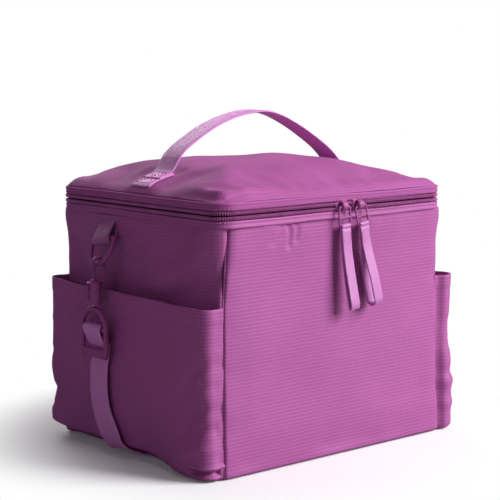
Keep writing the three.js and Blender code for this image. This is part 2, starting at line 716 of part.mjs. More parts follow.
function hook() {
  const ring = ringBottom();
  const barrel = new THREE.CylinderGeometry(1, 1, BARREL_TOP - BARREL_BOTTOM, 16);
  barrel.rotateX(Math.PI / 2).scale(BARREL_RADIUS_X, BARREL_RADIUS_Y, 1);
  barrel.translate(CLIP_X, CLIP_Y, (BARREL_TOP + BARREL_BOTTOM) / 2);
  const bore = turnedPiece([
    [0, BARREL_BOTTOM - 1],
    [SWIVEL_HOLE_RADIUS, BARREL_BOTTOM - 1],
    [SWIVEL_HOLE_RADIUS, SWIVEL_SEAT_LOW],
    [SWIVEL_SEAT_RADIUS, SWIVEL_SEAT_LOW],
    [SWIVEL_SEAT_RADIUS, SWIVEL_SEAT_HIGH],
    [BORE_RADIUS, SWIVEL_SEAT_HIGH],
    [BORE_RADIUS, BARREL_TOP + 2],
    [0, BARREL_TOP + 2],
  ]);
  const slotBack = CLIP_Y + SLOT_HALF;
  const slot = block(CLIP_X - SLOT_REACH, CLIP_X, CLIP_Y - SLOT_HALF, slotBack, SLOT_LOW, SLOT_HIGH);
  return cut(join(hookArch(ring.x, ring.z - RING_REST), barrel), bore, slot);
}

// The sliding bolt that closes the hook, with the thumb knob that stands out of the slot.
function bolt() {
  const length = PIN_HIGH - PIN_LOW;
  const pin = new THREE.CylinderGeometry(PIN_RADIUS, PIN_RADIUS, length, 10);
  pin.rotateX(Math.PI / 2).translate(CLIP_X, CLIP_Y, PIN_LOW + length / 2);
  const shape = roundedShape(CLIP_Y - KNOB_HALF, CLIP_Y + KNOB_HALF, KNOB_LOW, KNOB_HIGH, 1);
  const knob = facingSide(shape, CLIP_X - KNOB_REACH, KNOB_DEPTH);
  return join(pin, knob);
}

function boltSpring() {
  const steps = SPRING_TURNS * SPRING_STEPS;
  const points = [];
  for (let i = 0; i <= steps; i += 1) {
    const angle = (i / SPRING_STEPS) * 2 * Math.PI;
    const x = SPRING_RADIUS * Math.cos(angle);
    const y = SPRING_RADIUS * Math.sin(angle);
    points.push(new THREE.Vector3(x, y, SPRING_LOW + (i / steps) * SPRING_HEIGHT));
  }
  const wire = new THREE.Shape(arc(0, 0, SPRING_WIRE, 0, 300, 5));
  const extrudePath = new THREE.CatmullRomCurve3(points);
  const coil = new THREE.ExtrudeGeometry(wire, { steps, bevelEnabled: false, extrudePath });
  return coil.translate(CLIP_X, CLIP_Y, 0);
}

function swivelPin() {
  return turnedPiece([
    [0, SWIVEL_PIN_LOW],
    [SWIVEL_PIN_RADIUS, SWIVEL_PIN_LOW],
    [SWIVEL_PIN_RADIUS, SWIVEL_HEAD_LOW],
    [SWIVEL_HEAD_RADIUS, SWIVEL_HEAD_LOW],
    [SWIVEL_HEAD_RADIUS, SWIVEL_HEAD_HIGH],
    [0, SWIVEL_HEAD_HIGH],
  ]);
}

// A flat frame with an arched top, a bar across the middle and a broad bottom bar.
function buckle() {
  const half = BUCKLE_WIDTH / 2;
  const side = half - BUCKLE_RIM;
  const shoulder = BUCKLE_TOP - half;
  const foot = BUCKLE_BOTTOM + BUCKLE_CORNER;
  const shape = new THREE.Shape([
    ...arc(half - BUCKLE_CORNER, foot, BUCKLE_CORNER, -90, 0, 3),
    ...arc(0, shoulder, half, 0, 180, 12),
    ...arc(-half + BUCKLE_CORNER, foot, BUCKLE_CORNER, 180, 270, 3),
  ]);
  const barTop = BUCKLE_BAR_Z + BUCKLE_BAR_HALF;
  const start = THREE.MathUtils.radToDeg(Math.asin((barTop - shoulder) / side));
  shape.holes.push(new THREE.Path(arc(0, shoulder, side, start, 180 - start, 10)));
  const slotLow = BUCKLE_BOTTOM + BUCKLE_LOW_BAR;
  const slotHigh = BUCKLE_BAR_Z - BUCKLE_BAR_HALF;
  shape.holes.push(roundedShape(-side, side, slotLow, slotHigh, BUCKLE_SLOT_ROUNDING));
  const frame = facingSide(shape, CLIP_X - BUCKLE_THICK / 2, BUCKLE_THICK, BUCKLE_BEVEL);
  return frame.translate(0, CLIP_Y, 0);
}

function strapFold() {
  const fold = webFold(FOLD_HOLE, FOLD_OUTER, FOLD_TAIL_X, FOLD_TAIL_Z, FOLD_TAIL_HALF);
  return fold.translate(CLIP_X, CLIP_Y, BUCKLE_BAR_Z);
}

// The hanging strap stays flat against the pocket, and runs forward as it nears the base.
function strapDrop() {
  const middle = new THREE.CatmullRomCurve3([
    new THREE.Vector3(0, CLIP_Y, 98),
    new THREE.Vector3(0, 32, 76),
    new THREE.Vector3(0, 32, 56),
    new THREE.Vector3(0, 25, 32),
    new THREE.Vector3(0, 4, 2.5),
  ]);
  return formed(12, 1, (u, v, w) => {
    const point = middle.getPoint(u);
    const along = middle.getTangent(u);
    const half = WEB_WIDTH / 2 / Math.abs(along.z);
    return [STRAP_X + (w - 0.5) * WEB_THICK, point.y + (v - 0.5) * 2 * half, point.z];
  });
}

// The length of strap under the bag. Its ends run forward under the pockets to meet the hanging lengths.
function strapBaseRun() {
  const half = WEB_WIDTH / 2;
  const edge = WIDTH / 2 + WEB_THICK / 2;
  const end = -STRAP_X + WEB_THICK / 2;
  const shape = new THREE.Shape();
  shape.moveTo(-end, STRAP_END_FRONT);
  shape.lineTo(-edge, STRAP_BASE_Y - half);
  shape.lineTo(edge, STRAP_BASE_Y - half);
  shape.lineTo(end, STRAP_END_FRONT);
  shape.lineTo(end, STRAP_END_BACK);
  shape.lineTo(edge, STRAP_BASE_Y + half);
  shape.lineTo(-edge, STRAP_BASE_Y + half);
  shape.lineTo(-end, STRAP_END_BACK);
  return upright(shape, STRAP_BASE_LIFT, STRAP_BASE_LIFT + WEB_THICK);
}

function addStrapAndClips() {
  addPair('ring_tab', ringTab(), WEBBING);
  addPair('d_ring', dRing(), PLASTIC, 0.35);
  addPair('hook', hook(), PLASTIC, 0.35);
  addPair('hook_bolt', bolt(), PLASTIC, 0.35);
  addPair('bolt_spring', boltSpring(), STEEL, 0.3, 1);
  addPair('swivel_pin', swivelPin(), STEEL, 0.3, 1);
  addPair('buckle', buckle(), PLASTIC, 0.35);
  addPair('strap_fold', strapFold(), WEBBING);
  addPair('strap_drop', strapDrop(), WEBBING);
  add('strap_base_run', strapBaseRun(), WEBBING);
}

addBase();
addShell();
addFoamAndLiner();
addZip();
addHingeStrip();
addSliders();
addLid();
addHandle();
addPockets();
addStrapAndClips();

export default bag;
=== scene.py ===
import json
from math import atan2, cos, hypot, pi, radians, sin, sqrt

import bmesh
import bpy
import numpy as np
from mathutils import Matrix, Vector
from mathutils.geometry import delaunay_2d_cdt
from mathutils.kdtree import KDTree


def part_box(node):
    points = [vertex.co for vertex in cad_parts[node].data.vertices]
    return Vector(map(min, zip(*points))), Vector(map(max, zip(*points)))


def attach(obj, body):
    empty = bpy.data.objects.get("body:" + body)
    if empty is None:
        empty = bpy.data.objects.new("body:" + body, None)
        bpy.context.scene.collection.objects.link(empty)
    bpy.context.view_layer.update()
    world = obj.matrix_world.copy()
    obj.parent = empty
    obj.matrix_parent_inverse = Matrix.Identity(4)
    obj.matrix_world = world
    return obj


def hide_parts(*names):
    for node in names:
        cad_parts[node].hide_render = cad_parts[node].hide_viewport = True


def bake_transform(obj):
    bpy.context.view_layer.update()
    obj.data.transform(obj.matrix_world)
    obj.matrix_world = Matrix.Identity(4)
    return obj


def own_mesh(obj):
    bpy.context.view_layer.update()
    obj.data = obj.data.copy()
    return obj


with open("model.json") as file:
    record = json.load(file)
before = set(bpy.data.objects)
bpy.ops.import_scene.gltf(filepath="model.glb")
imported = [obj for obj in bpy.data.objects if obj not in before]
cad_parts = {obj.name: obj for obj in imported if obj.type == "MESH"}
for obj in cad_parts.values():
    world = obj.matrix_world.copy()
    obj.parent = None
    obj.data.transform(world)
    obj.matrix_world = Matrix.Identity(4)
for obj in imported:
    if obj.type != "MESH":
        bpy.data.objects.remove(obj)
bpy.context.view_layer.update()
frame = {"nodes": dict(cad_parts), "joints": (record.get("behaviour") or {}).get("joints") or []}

TAU = 2 * pi


# ---- sizes in millimetres, read from the frame ----

def corners(node):
    low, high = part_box(node)
    return np.array(low) * 1000, np.array(high) * 1000


def middle(node):
    low, high = corners(node)
    return (low + high) / 2


HALF_X = corners("right_panel")[1][0]
HALF_Y = corners("back_panel")[1][1]
PANEL_TOP = corners("front_panel")[1][2]
BAND_LOW = corners("lower_zip_facing")[0][2]
FACING_TOP = corners("lower_zip_facing")[1][2]
FACING_LOW = corners("upper_zip_facing")[0][2]
BAND_TOP = corners("upper_zip_facing")[1][2]
ZIP_Z = (BAND_LOW + BAND_TOP) / 2
HINGE_HALF = corners("hinge_strip")[1][0]
POCKET_TOP = corners("left_pocket")[1][2]
POCKET_FACE = -corners("left_pocket")[0][0]
POCKET_HALF = corners("left_pocket")[1][1]

BAND_X, BAND_Y = corners("lid_panel")[1][:2]
BAND_CORNER = 16
BODY_CORNER = 5
FOOT_ROUND = 3.2
SEAM_SINK = 1.5
FRONT_TURN = radians(32)
SIDE_TURN = radians(58)
LINER_GAP = 8.6
RIGHT_STRETCH = 1.014
LID_SWELL, PINNED_EDGE, RIM_RADIUS = 3.6, 1.2, 150
CLOTH_THICK, LINING_THICK, PAD_THICK = 1.3, 0.5, 3.1
WEB_WIDTH, LOOP_WIDTH = 25, 10.6


# ---- number helpers ----

def ease(t):
    t = np.clip(t, 0, 1)
    return t * t * (3 - 2 * t)


def hill(t, centre, width):
    return np.exp(-((t - centre) / width) ** 2)


def waves(u, v, seed, shortest, longest, count=14):
    """A smooth uneven field, about one high, made of crossing waves."""
    rng = np.random.default_rng(seed)
    total = np.zeros(np.broadcast(u, v).shape)
    for _ in range(count):
        length = rng.uniform(shortest, longest)
        angle, phase = rng.uniform(0, TAU, 2)
        run = u * cos(angle) + v * sin(angle)
        total += np.sin(TAU * run / length + phase)
    return total / sqrt(count / 2)


def puckers(along, away, seed, spacing, reach):
    """Short uneven ridges that start at a seam and fade away from it."""
    rng = np.random.default_rng(seed)
    total = np.zeros(np.broadcast(along, away).shape)
    place = along.min() - spacing
    while place < along.max() + spacing:
        place += spacing * rng.uniform(0.55, 1.45)
        width = spacing * rng.uniform(0.22, 0.45)
        slant = rng.uniform(-0.35, 0.35)
        length = reach * rng.uniform(0.4, 1.3)
        ridge = hill(along, place + slant * away, width + 0.25 * away)
        total += rng.uniform(-1, 1) * ridge * np.exp(-away / length)
    return total


def crease(u, v, start, end, width, height, seed=0):
    """A ridge or a valley along the line from start to end, which fades at both ends."""
    du, dv = end[0] - start[0], end[1] - start[1]
    long = hypot(du, dv)
    t = ((u - start[0]) * du + (v - start[1]) * dv) / long ** 2
    off = ((u - start[0]) * dv - (v - start[1]) * du) / long
    off = off + width * 0.5 * np.sin(t * 4 + seed)
    fade = ease(t * 3 + 0.8) * ease((1 - t) * 3 + 0.8)
    return height * np.exp(-(off / width) ** 2) * fade


def columns(*parts):
    """Arrays and plain numbers side by side, as the columns of one array."""
    count = max(len(part) for part in parts if np.ndim(part))
    return np.column_stack([part if np.ndim(part) else np.full(count, part) for part in parts])


def run_along(path):
    """How far along a path each of its points is."""
    return np.concatenate([[0], np.cumsum(np.linalg.norm(np.diff(path, axis=0), axis=1))])


def arc(x, z, radius, start, end, steps):
    angle = np.linspace(start, end, steps)
    return columns(x + radius * np.cos(angle), z + radius * np.sin(angle))


# ---- mesh helpers ----

def new_piece(name, points, faces, material, body, weave=None):
    """Makes an object from points in millimetres. weave is each point's place on the flat cloth."""
    mesh = bpy.data.meshes.new(name)
    points = np.asarray(points, float).reshape(-1, 3) / 1000
    mesh.from_pydata(points.tolist(), [], [tuple(map(int, f)) for f in faces])
    if weave is not None:
        layer = mesh.uv_layers.new(name="weave")
        index = np.empty(len(mesh.loops), int)
        mesh.loops.foreach_get("vertex_index", index)
        flat = np.asarray(weave, float).reshape(-1, 2)[index] / 1000
        layer.data.foreach_set("uv", flat.ravel())
    mesh.shade_smooth()
    mesh.materials.append(material)
    piece = bpy.data.objects.new(name, mesh)
    bpy.context.scene.collection.objects.link(piece)
    if body:
        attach(piece, body)
    return piece


def stands_for(piece, slot, *nodes):
    """Hides the CAD nodes that a piece replaces. slot is not used."""
    if nodes:
        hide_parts(*nodes)


def grid_faces(rows, wide, wrap=False):
    """Faces between rows of wide points each. wrap closes every row to a ring."""
    faces = []
    for r in range(rows - 1):
        for c in range(wide if wrap else wide - 1):
            a, b = r * wide + c, r * wide + (c + 1) % wide
            faces.append((a, b, b + wide, a + wide))
    return faces


def end_caps(wide, last):
    """The two faces that close a stack of rings. The last ring starts at point number last."""
    return [tuple(reversed(range(wide))), tuple(range(last, last + wide))]


def flipped(faces):
    return [tuple(reversed(face)) for face in faces]


def tube_faces(n, m, closed=False):
    """Faces between n sections of m points each. An open tube gets a cap at each end."""
    faces = []
    for r in range(n if closed else n - 1):
        for c in range(m):
            ahead, beside = (r + 1) % n * m, (c + 1) % m
            faces.append((r * m + c, ahead + c, ahead + beside, r * m + beside))
    if not closed:
        faces += flipped(end_caps(m, (n - 1) * m))
    return faces


def settled(piece):
    """Turns the piece's modifiers into plain mesh."""
    graph = bpy.context.evaluated_depsgraph_get()
    mesh = bpy.data.meshes.new_from_object(piece.evaluated_get(graph))
    piece.modifiers.clear()
    piece.data = mesh
    return piece


def thickened(piece, thick):
    """Gives a sheet its thickness, on the inner side."""
    cover = piece.modifiers.new("thick", "SOLIDIFY")
    cover.thickness = thick / 1000
    cover.offset = -1
    cover.use_even_offset = False
    settled(piece)


def merged(name, parts, material, body):
    """One piece from a list of (points, faces) or (points, faces, weave)."""
    points, faces, weave, start = [], [], [], 0
    for part in parts:
        block = np.asarray(part[0], float).reshape(-1, 3)
        points.append(block)
        faces += [tuple(start + i for i in face) for face in part[1]]
        flat = part[2] if len(part) > 2 else block[:, [0, 2]]
        weave.append(np.asarray(flat, float).reshape(-1, 2))
        start += len(block)
    return new_piece(name, np.vstack(points), faces, material, body, np.vstack(weave))


def swept(path, section, across, closed=False, scale=1.0):
    """Points, faces and cloth place of a section carried along a path. across is the direction of the
    section's first axis, one vector or one for each path point."""
    path, section = np.asarray(path, float), np.asarray(section, float)
    if closed:
        tangent = np.roll(path, -1, 0) - np.roll(path, 1, 0)
    else:
        tangent = np.gradient(path, axis=0)
    tangent /= np.linalg.norm(tangent, axis=1)[:, None]
    across = np.broadcast_to(np.asarray(across, float), path.shape)
    across = across - tangent * np.sum(across * tangent, 1)[:, None]
    across = across / np.linalg.norm(across, axis=1)[:, None]
    up = np.cross(tangent, across)
    grow = np.broadcast_to(scale, len(path))[:, None, None]
    points = path[:, None] + (across[:, None] * section[:, :1] + up[:, None] * section[:, 1:]) * grow
    weave = np.dstack(np.meshgrid(section[:, 0], run_along(path)))
    return points.reshape(-1, 3), tube_faces(len(path), len(section), closed), weave.reshape(-1, 2)


def lobe(angle, power):
    """The two places of a point round a circle that turns into a rounded square as power grows."""
    c, s = np.cos(angle), np.sin(angle)
    return np.sign(c) * np.abs(c) ** (2 / power), np.sign(s) * np.abs(s) ** (2 / power)


def oval(width, height, steps=14, power=2.0):
    """A closed section from a circle to a rounded rectangle, as power grows."""
    return np.stack(lobe(np.arange(steps) * TAU / steps, power), 1) * (width / 2, height / 2)


def web_section(thick, width=WEB_WIDTH):
    """Flat webbing with soft selvedges that stand a little higher than the middle."""
    x = np.linspace(-1, 1, 11)
    edge = np.sqrt(np.clip(1 - np.abs(x) ** 14, 0, 1))
    top = thick / 2 * (0.25 + 0.75 * edge) * (1 + 0.16 * hill(np.abs(x), 0.88, 0.08))
    upper = columns(x * width / 2, top)
    return np.vstack([upper, upper[::-1] * (1, -1)])


def smooth_path(knots, steps):
    """A Catmull-Rom curve through the knots."""
    k = np.asarray(knots, float)
    k = np.vstack([2 * k[0] - k[1], k, 2 * k[-1] - k[-2]])
    t = (np.arange(steps) / steps)[:, None]
    spans = [
        0.5 * (2 * b + (c - a) * t + (2 * a - 5 * b + 4 * c - d) * t ** 2 + (3 * b - a - 3 * c + d) * t ** 3)
        for a, b, c, d in zip(k, k[1:], k[2:], k[3:])
    ]
    return np.vstack([*spans, k[-2]])


def stitch_row(path, normal, length, gap, radius):
    """Separate stitches, each a small thread that dips at its ends, laid along a path."""
    normal = np.broadcast_to(np.asarray(normal, float), path.shape)
    run, section = run_along(path), oval(2 * radius, 2 * radius, 6)
    lift = radius * np.array([-0.9, 0.35, 0.6, 0.35, -0.9])[:, None]
    parts, at = [], gap
    while at + length < run[-1]:
        where = at + np.linspace(0, length, 5)
        line, up = (columns(*[np.interp(where, run, part) for part in field.T]) for field in (path, normal))
        parts.append(swept(line + up * lift, section, up, scale=[0.6, 1, 1, 1, 0.6]))
        at += length + gap
    return parts


# ---- materials ----

class Look:
    """A small helper that builds a node material."""

    def __init__(self, name, **values):
        self.material = bpy.data.materials.new(name)
        self.material.use_nodes = True
        self.tree = self.material.node_tree
        self.shader = self.tree.nodes["Principled BSDF"]
        for key, value in values.items():
            self.shader.inputs[key.replace("_", " ")].default_value = value

    def node(self, kind, settings=None, **inputs):
        """A node with its settings. An input goes by its name or, as i0 or i1, by its number."""
        made = self.tree.nodes.new("ShaderNode" + kind)
        for key, value in (settings or {}).items():
            setattr(made, key, value)
        for key, value in inputs.items():
            socket = made.inputs[int(key[1:]) if key[1:].isdigit() else key]
            if isinstance(value, bpy.types.NodeSocket):
                self.tree.links.new(value, socket)
            else:
                socket.default_value = value
        return made

    def math(self, operation, first, second=0.0):
        return self.node("Math", {"operation": operation}, i0=first, i1=second).outputs[0]

    def plus(self, first, second):
        return self.math("ADD", first, second)

    def times(self, first, second):
        return self.math("MULTIPLY", first, second)

    def cloth_place(self):
        """The place on the flat cloth, in millimetres."""
        flat = self.node("UVMap", {"uv_map": "weave"}).outputs[0]
        scaled = self.node("VectorMath", {"operation": "SCALE"}, i0=flat, Scale=1000.0)
        return self.node("SeparateXYZ", i0=scaled.outputs[0]).outputs[:2]

    def space_place(self):
        """The place in the bag's frame, in millimetres."""
        spot = self.node("TexCoord").outputs["Object"]
        return self.node("VectorMath", {"operation": "SCALE"}, i0=spot, Scale=1000.0).outputs[0]

    def noise(self, place, scale, detail=2.0, roughness=0.5):
        return self.node("TexNoise", i0=place, Scale=scale, Detail=detail, Roughness=roughness).outputs[0]

    def between(self, factor, low, high):
        return self.node("MapRange", i0=factor, i3=low, i4=high).outputs[0]

    def mixed(self, factor, first, second):
        return self.node("Mix", {"data_type": "RGBA"}, i0=factor, i6=first, i7=second).outputs[2]

    def line(self, value, pitch, width):
        """One where value is within width of a whole number of pitches, fading to nothing beside it."""
        near = self.math("DIVIDE", self.math("PINGPONG", value, pitch / 2), width)
        return self.math("MAXIMUM", self.math("SUBTRACT", 1.0, near), 0.0)

    def ribs(self, value, pitch):
        return self.plus(self.times(self.math("SINE", self.times(value, TAU / pitch)), 0.5), 0.5)

    def use(self, colour=None, roughness=None, height=None, distance=0.1, strength=1.0):
        """Connects what was built. distance is the height of the relief, in millimetres."""
        if colour is not None:
            self.tree.links.new(colour, self.shader.inputs["Base Color"])
        if roughness is not None:
            self.tree.links.new(roughness, self.shader.inputs["Roughness"])
        if height is not None:
            relief = self.node("Bump", Strength=strength, Distance=distance / 1000, Height=height)
            self.tree.links.new(relief.outputs[0], self.shader.inputs["Normal"])
        return self.material


def tone(red, green, blue):
    """A colour from its screen values, 0 to 255."""
    def linear(value):
        value /= 255
        return value / 12.92 if value <= 0.04045 else ((value + 0.055) / 1.055) ** 2.4
    return (linear(red), linear(green), linear(blue), 1.0)


CLOTH_SHEEN, WEB_SHEEN = tone(240, 150, 235), tone(255, 180, 250)
RIPSTOP_PITCH = 3.0


def ripstop(name, dark, light, thread, dull=0.0):
    """Coated woven cloth with a raised thread every three millimetres both ways."""
    look = Look(
        name, Sheen_Weight=0.08, Sheen_Roughness=0.45, Sheen_Tint=CLOTH_SHEEN, Specular_IOR_Level=0.26 - dull,
    )
    u, v = look.cloth_place()
    place = look.space_place()
    upright = look.times(look.line(u, RIPSTOP_PITCH, 0.5), 0.45)
    grid = look.math("MAXIMUM", upright, look.line(v, RIPSTOP_PITCH, 0.7))
    fine = look.times(look.ribs(u, 0.62), look.ribs(v, 0.62))
    slub = look.noise(place, 0.9, 3.0, 0.6)
    base = look.mixed(look.noise(place, 0.018, 3.0, 0.55), dark, light)
    base = look.mixed(look.between(slub, 0.0, 0.35), base, dark)
    rough = look.plus(look.between(slub, 0.5 + dull, 0.64 + dull), look.times(grid, -0.1))
    height = look.plus(look.plus(grid, look.times(fine, 0.35)), look.times(slub, 0.45))
    return look.use(look.mixed(look.times(grid, 0.34), base, thread), rough, height, 0.11, 0.75)


def woven_web(name, dark, light):
    """Herringbone webbing: fine ribs that lean one way and then the other across the width."""
    look = Look(name, Sheen_Weight=0.7, Sheen_Roughness=0.3, Sheen_Tint=WEB_SHEEN, Specular_IOR_Level=0.75)
    u, v = look.cloth_place()
    twill = look.ribs(look.plus(v, look.times(look.math("PINGPONG", u, 3.1), 0.9)), 1.5)
    slub = look.noise(look.space_place(), 0.7, 3.0, 0.6)
    colour = look.mixed(look.times(look.plus(twill, slub), 0.5), dark, light)
    height = look.plus(look.times(twill, 0.8), look.times(look.ribs(u, 1.24), 0.4))
    return look.use(colour, look.between(slub, 0.34, 0.5), height, 0.22, 0.9)


def moulded(name, dark, light, rough):
    look = Look(name, Specular_IOR_Level=0.4)
    place = look.space_place()
    colour = look.mixed(look.noise(place, 0.06, 3.0), dark, light)
    uneven = look.between(look.noise(place, 0.35, 4.0, 0.6), rough - 0.08, rough + 0.1)
    return look.use(colour, uneven, look.noise(place, 3.2), 0.03, 0.5)


def knitted(name, dark, light):
    """Zip tape: a fine warp knit with its wales along the tape."""
    look = Look(name, Sheen_Weight=0.2, Specular_IOR_Level=0.3)
    u, v = look.cloth_place()
    wale = look.ribs(v, 0.9)
    blend = look.times(wale, look.ribs(look.plus(u, look.times(wale, 0.3)), 0.8))
    slub = look.noise(look.space_place(), 0.5, 3.0, 0.6)
    colour = look.mixed(look.times(look.plus(blend, slub), 0.5), dark, light)
    return look.use(colour, look.between(slub, 0.6, 0.8), blend, 0.2, 0.8)


def metal(name, dark, light):
    look = Look(name, Metallic=1.0)
    place = look.space_place()
    cloud = look.noise(place, 0.4, 4.0, 0.6)
    scratch = look.noise(place, 6.0, 2.0, 0.7)
    return look.use(look.mixed(cloud, dark, light), look.between(scratch, 0.22, 0.42), scratch, 0.02, 0.4)


def wiped_liner(name, dark, light):
    """Thin coated film that crinkles."""
    look = Look(name, Specular_IOR_Level=0.5, Coat_Weight=0.15, Coat_Roughness=0.2)
    place = look.space_place()
    fold = look.node("TexVoronoi", {"feature": "DISTANCE_TO_EDGE"}, Vector=place, Scale=0.07).outputs[0]
    crumple = look.noise(place, 0.12, 5.0, 0.6)
    height = look.plus(look.math("MINIMUM", fold, 0.5), crumple)
    return look.use(look.mixed(crumple, dark, light), look.between(crumple, 0.24, 0.42), height, 1.2, 0.5)


def open_cells(name, dark, light):
    look = Look(name)
    place = look.space_place()
    cells = look.node("TexVoronoi", Vector=place, Scale=0.9).outputs[0]
    cloud = look.noise(place, 0.2, 4.0, 0.6)
    colour = look.mixed(look.times(look.plus(cells, cloud), 0.5), dark, light)
    return look.use(colour, look.between(cloud, 0.8, 0.95), cells, 0.5, 0.7)


CLOTH = ripstop("bag_cloth", tone(147, 72, 130), tone(172, 90, 154), tone(194, 114, 176))
LID_CLOTH = ripstop("lid_cloth", tone(147, 73, 130), tone(170, 90, 152), tone(186, 107, 169), 0.14)
WEB = woven_web("webbing", tone(192, 104, 180), tone(234, 152, 224))
TAB_WEB = woven_web("tab_webbing", tone(140, 62, 126), tone(172, 90, 158))
LIGHT_WEB = woven_web("loop_webbing", tone(164, 88, 152), tone(206, 124, 196))
PLASTIC = moulded("purple_plastic", tone(142, 62, 124), tone(162, 78, 144), 0.52)
COIL = moulded("zip_coil", tone(150, 72, 132), tone(186, 106, 168), 0.36)
TAPE = knitted("zip_tape", tone(126, 56, 114), tone(158, 82, 144))
THREAD = moulded("thread", tone(160, 84, 146), tone(196, 118, 182), 0.55)
STEEL = metal("steel", (0.32, 0.32, 0.34, 1), (0.5, 0.5, 0.52, 1))
LINER = wiped_liner("liner_film", tone(176, 180, 188), tone(206, 209, 214))
FOAM = open_cells("foam", tone(206, 200, 190), tone(238, 235, 228))
BOARD = open_cells("board", tone(48, 46, 48), tone(72, 70, 72))


# ---- body of the bag ----

def body_corner(z, near=0.0):
    """The radius of the walls' corners. The front left corner, where near is 1, opens wider under the zip."""
    widest = 8 + 9 * near
    return BODY_CORNER + (widest - BODY_CORNER) * ease((z - 130) / (PANEL_TOP - 130))


def body_swell(z):
    """How far the walls stand outside their plan: full at the foot, in at the waist, out at the zip."""
    return 3.6 * np.exp(-(z / 34) ** 2) - 0.9 * hill(z, 140, 50) + 1.6 * ease((z - 165) / 38)


AXES = {
    "front": ((1, 0), (0, -1), HALF_X, HALF_Y, FRONT_TURN),
    "right": ((0, 1), (1, 0), HALF_Y, HALF_X, SIDE_TURN),
    "back": ((-1, 0), (0, 1), HALF_X, HALF_Y, FRONT_TURN),
    "left": ((0, -1), (-1, 0), HALF_Y, HALF_X, SIDE_TURN),
}


def wall_plan(side, s, inset, z):
    """Points, outward directions, run and distance to the seam along one wall, for s from -1 to 1."""
    along, out, half, depth, turn = AXES[side]
    near = (s < 0) if side == "front" else (s > 0) if side == "left" else s * 0
    corner = np.maximum(body_corner(z, near) - inset, 1.5)
    straight = half - inset - corner
    length = straight + corner * turn
    run = np.abs(s) * length
    angle = np.clip((run - straight) / corner, 0, turn)
    a = np.sign(s) * (np.minimum(run, straight) + corner * np.sin(angle))
    o = depth - inset - corner + corner * np.cos(angle)
    na, no = np.sign(s) * np.sin(angle), np.cos(angle)
    spot = np.stack([a * along[0] + o * out[0], a * along[1] + o * out[1]], -1)
    spot[..., 0] *= np.where(spot[..., 0] > 0, RIGHT_STRETCH, 1.0)
    away = np.stack([na * along[0] + no * out[0], na * along[1] + no * out[1]], -1)
    return spot, away, np.sign(s) * run, length - run


def front_relief(u, z, seam):
    relief = 0.5 * waves(u, z, 3, 60, 150) * ease(seam / 30)
    relief += crease(u, z, (-58, 204), (-55, 186), 2.6, -2.2)
    relief += crease(u, z, (-49, 204), (-48, 190), 2.2, -1.7)
    relief += crease(u, z, (-66, 204), (-72, 188), 5.0, -0.8)
    relief += crease(u, z, (28, 203), (36, 182), 4.0, -0.7)
    relief += 0.5 * puckers(u, 205 - z, 21, 19, 9)
    relief += 1.0 * puckers(z, seam, 5, 24, 12)
    relief += 1.2 * puckers(u, z, 8, 30, 12)
    return relief


def side_relief(u, z, seam):
    relief = 0.9 * waves(u, z, 31, 60, 140) * ease(seam / 25)
    relief += crease(u, z, (104, 204), (30, 150), 12, 3.4)
    relief += crease(u, z, (118, 176), (56, 142), 9, -3.4)
    relief += crease(u, z, (-96, 200), (-60, 150), 10, 1.8)
    relief += 0.9 * puckers(u, 205 - z, 33, 20, 12)
    relief += 0.8 * puckers(z, seam, 35, 22, 12)
    return relief


def foot_rows(radius, low, steps):
    """Heights and insets of the rows that round a wall's foot, from flat on the floor to upright."""
    angle = np.linspace(-pi / 2, 0, steps)
    return columns(low + radius * (1 + np.sin(angle)), radius * (1 - np.cos(angle)))


def wall_shares(steps):
    """Shares from -1 to 1 along a wall, closer together towards its seams."""
    share = np.linspace(-1, 1, steps)
    return 0.45 * share + 0.55 * np.sin(share * pi / 2)


def add_wall(side, relief):
    heights = np.concatenate([np.linspace(5, 180, 80), np.linspace(182, PANEL_TOP + 0.6, 16)])
    under = [(0.9, 12.0), (0.5, 8.0), (0.3, 5.0)]
    rows = np.vstack([under, foot_rows(FOOT_ROUND, 0.2, 7), columns(heights, 0)])
    s, z, tuck = np.broadcast_arrays(wall_shares(141), rows[:, :1], rows[:, 1:])
    spot, away, run, seam = wall_plan(side, s, tuck - body_swell(z), z)
    shape = 1.7 * (1 - np.exp(-seam / 7)) * (0.3 + 0.7 * ease((z - 6) / 30)) - 1.6 * hill(seam, 0, 1.2)
    shape += relief(run, z, seam) * ease((z - 2) / 10)
    if side in ("left", "right"):
        rear = ease((60 + (run if side == "right" else -run)) / 60)
        shape -= 6.0 * (1 - ease(z / 16)) * rear * ease(seam / 14)
    points = np.dstack([spot + away * shape[..., None], z])
    piece = new_piece(f"{side}_wall", points, grid_faces(*s.shape), CLOTH, "bag", np.dstack([run, z]))
    thickened(piece, 1.2)
    stands_for(piece, "shell_fabric", f"{side}_panel")


def add_corner_seams():
    """A turned edge of cloth stands in each upright corner seam, from the foot to the zip band."""
    z = np.concatenate([np.linspace(1.0, 12, 10), np.linspace(16, PANEL_TOP, 64)])
    drop = np.clip((FOOT_ROUND + 0.2 - z) / FOOT_ROUND, 0, 1)
    inset = FOOT_ROUND * (1 - np.cos(np.arcsin(drop))) - body_swell(z)
    parts = []
    for side_x in (-1, 1):
        for side_y in (-1, 1):
            seam = -1.0 if side_x < 0 and side_y < 0 else 1.0
            spot, away, _, _ = wall_plan("front", np.full(len(z), seam), inset, z)
            path = columns(np.abs(spot - SEAM_SINK * away) * (side_x, side_y), z)
            path[:, 0] += side_x * 0.25 * np.sin(z / 9)
            parts.append(swept(path, oval(1.7, 1.5, 10), (side_x, side_y, 0)))
    stands_for(merged("corner_seams", parts, CLOTH, "bag"), "shell_fabric")


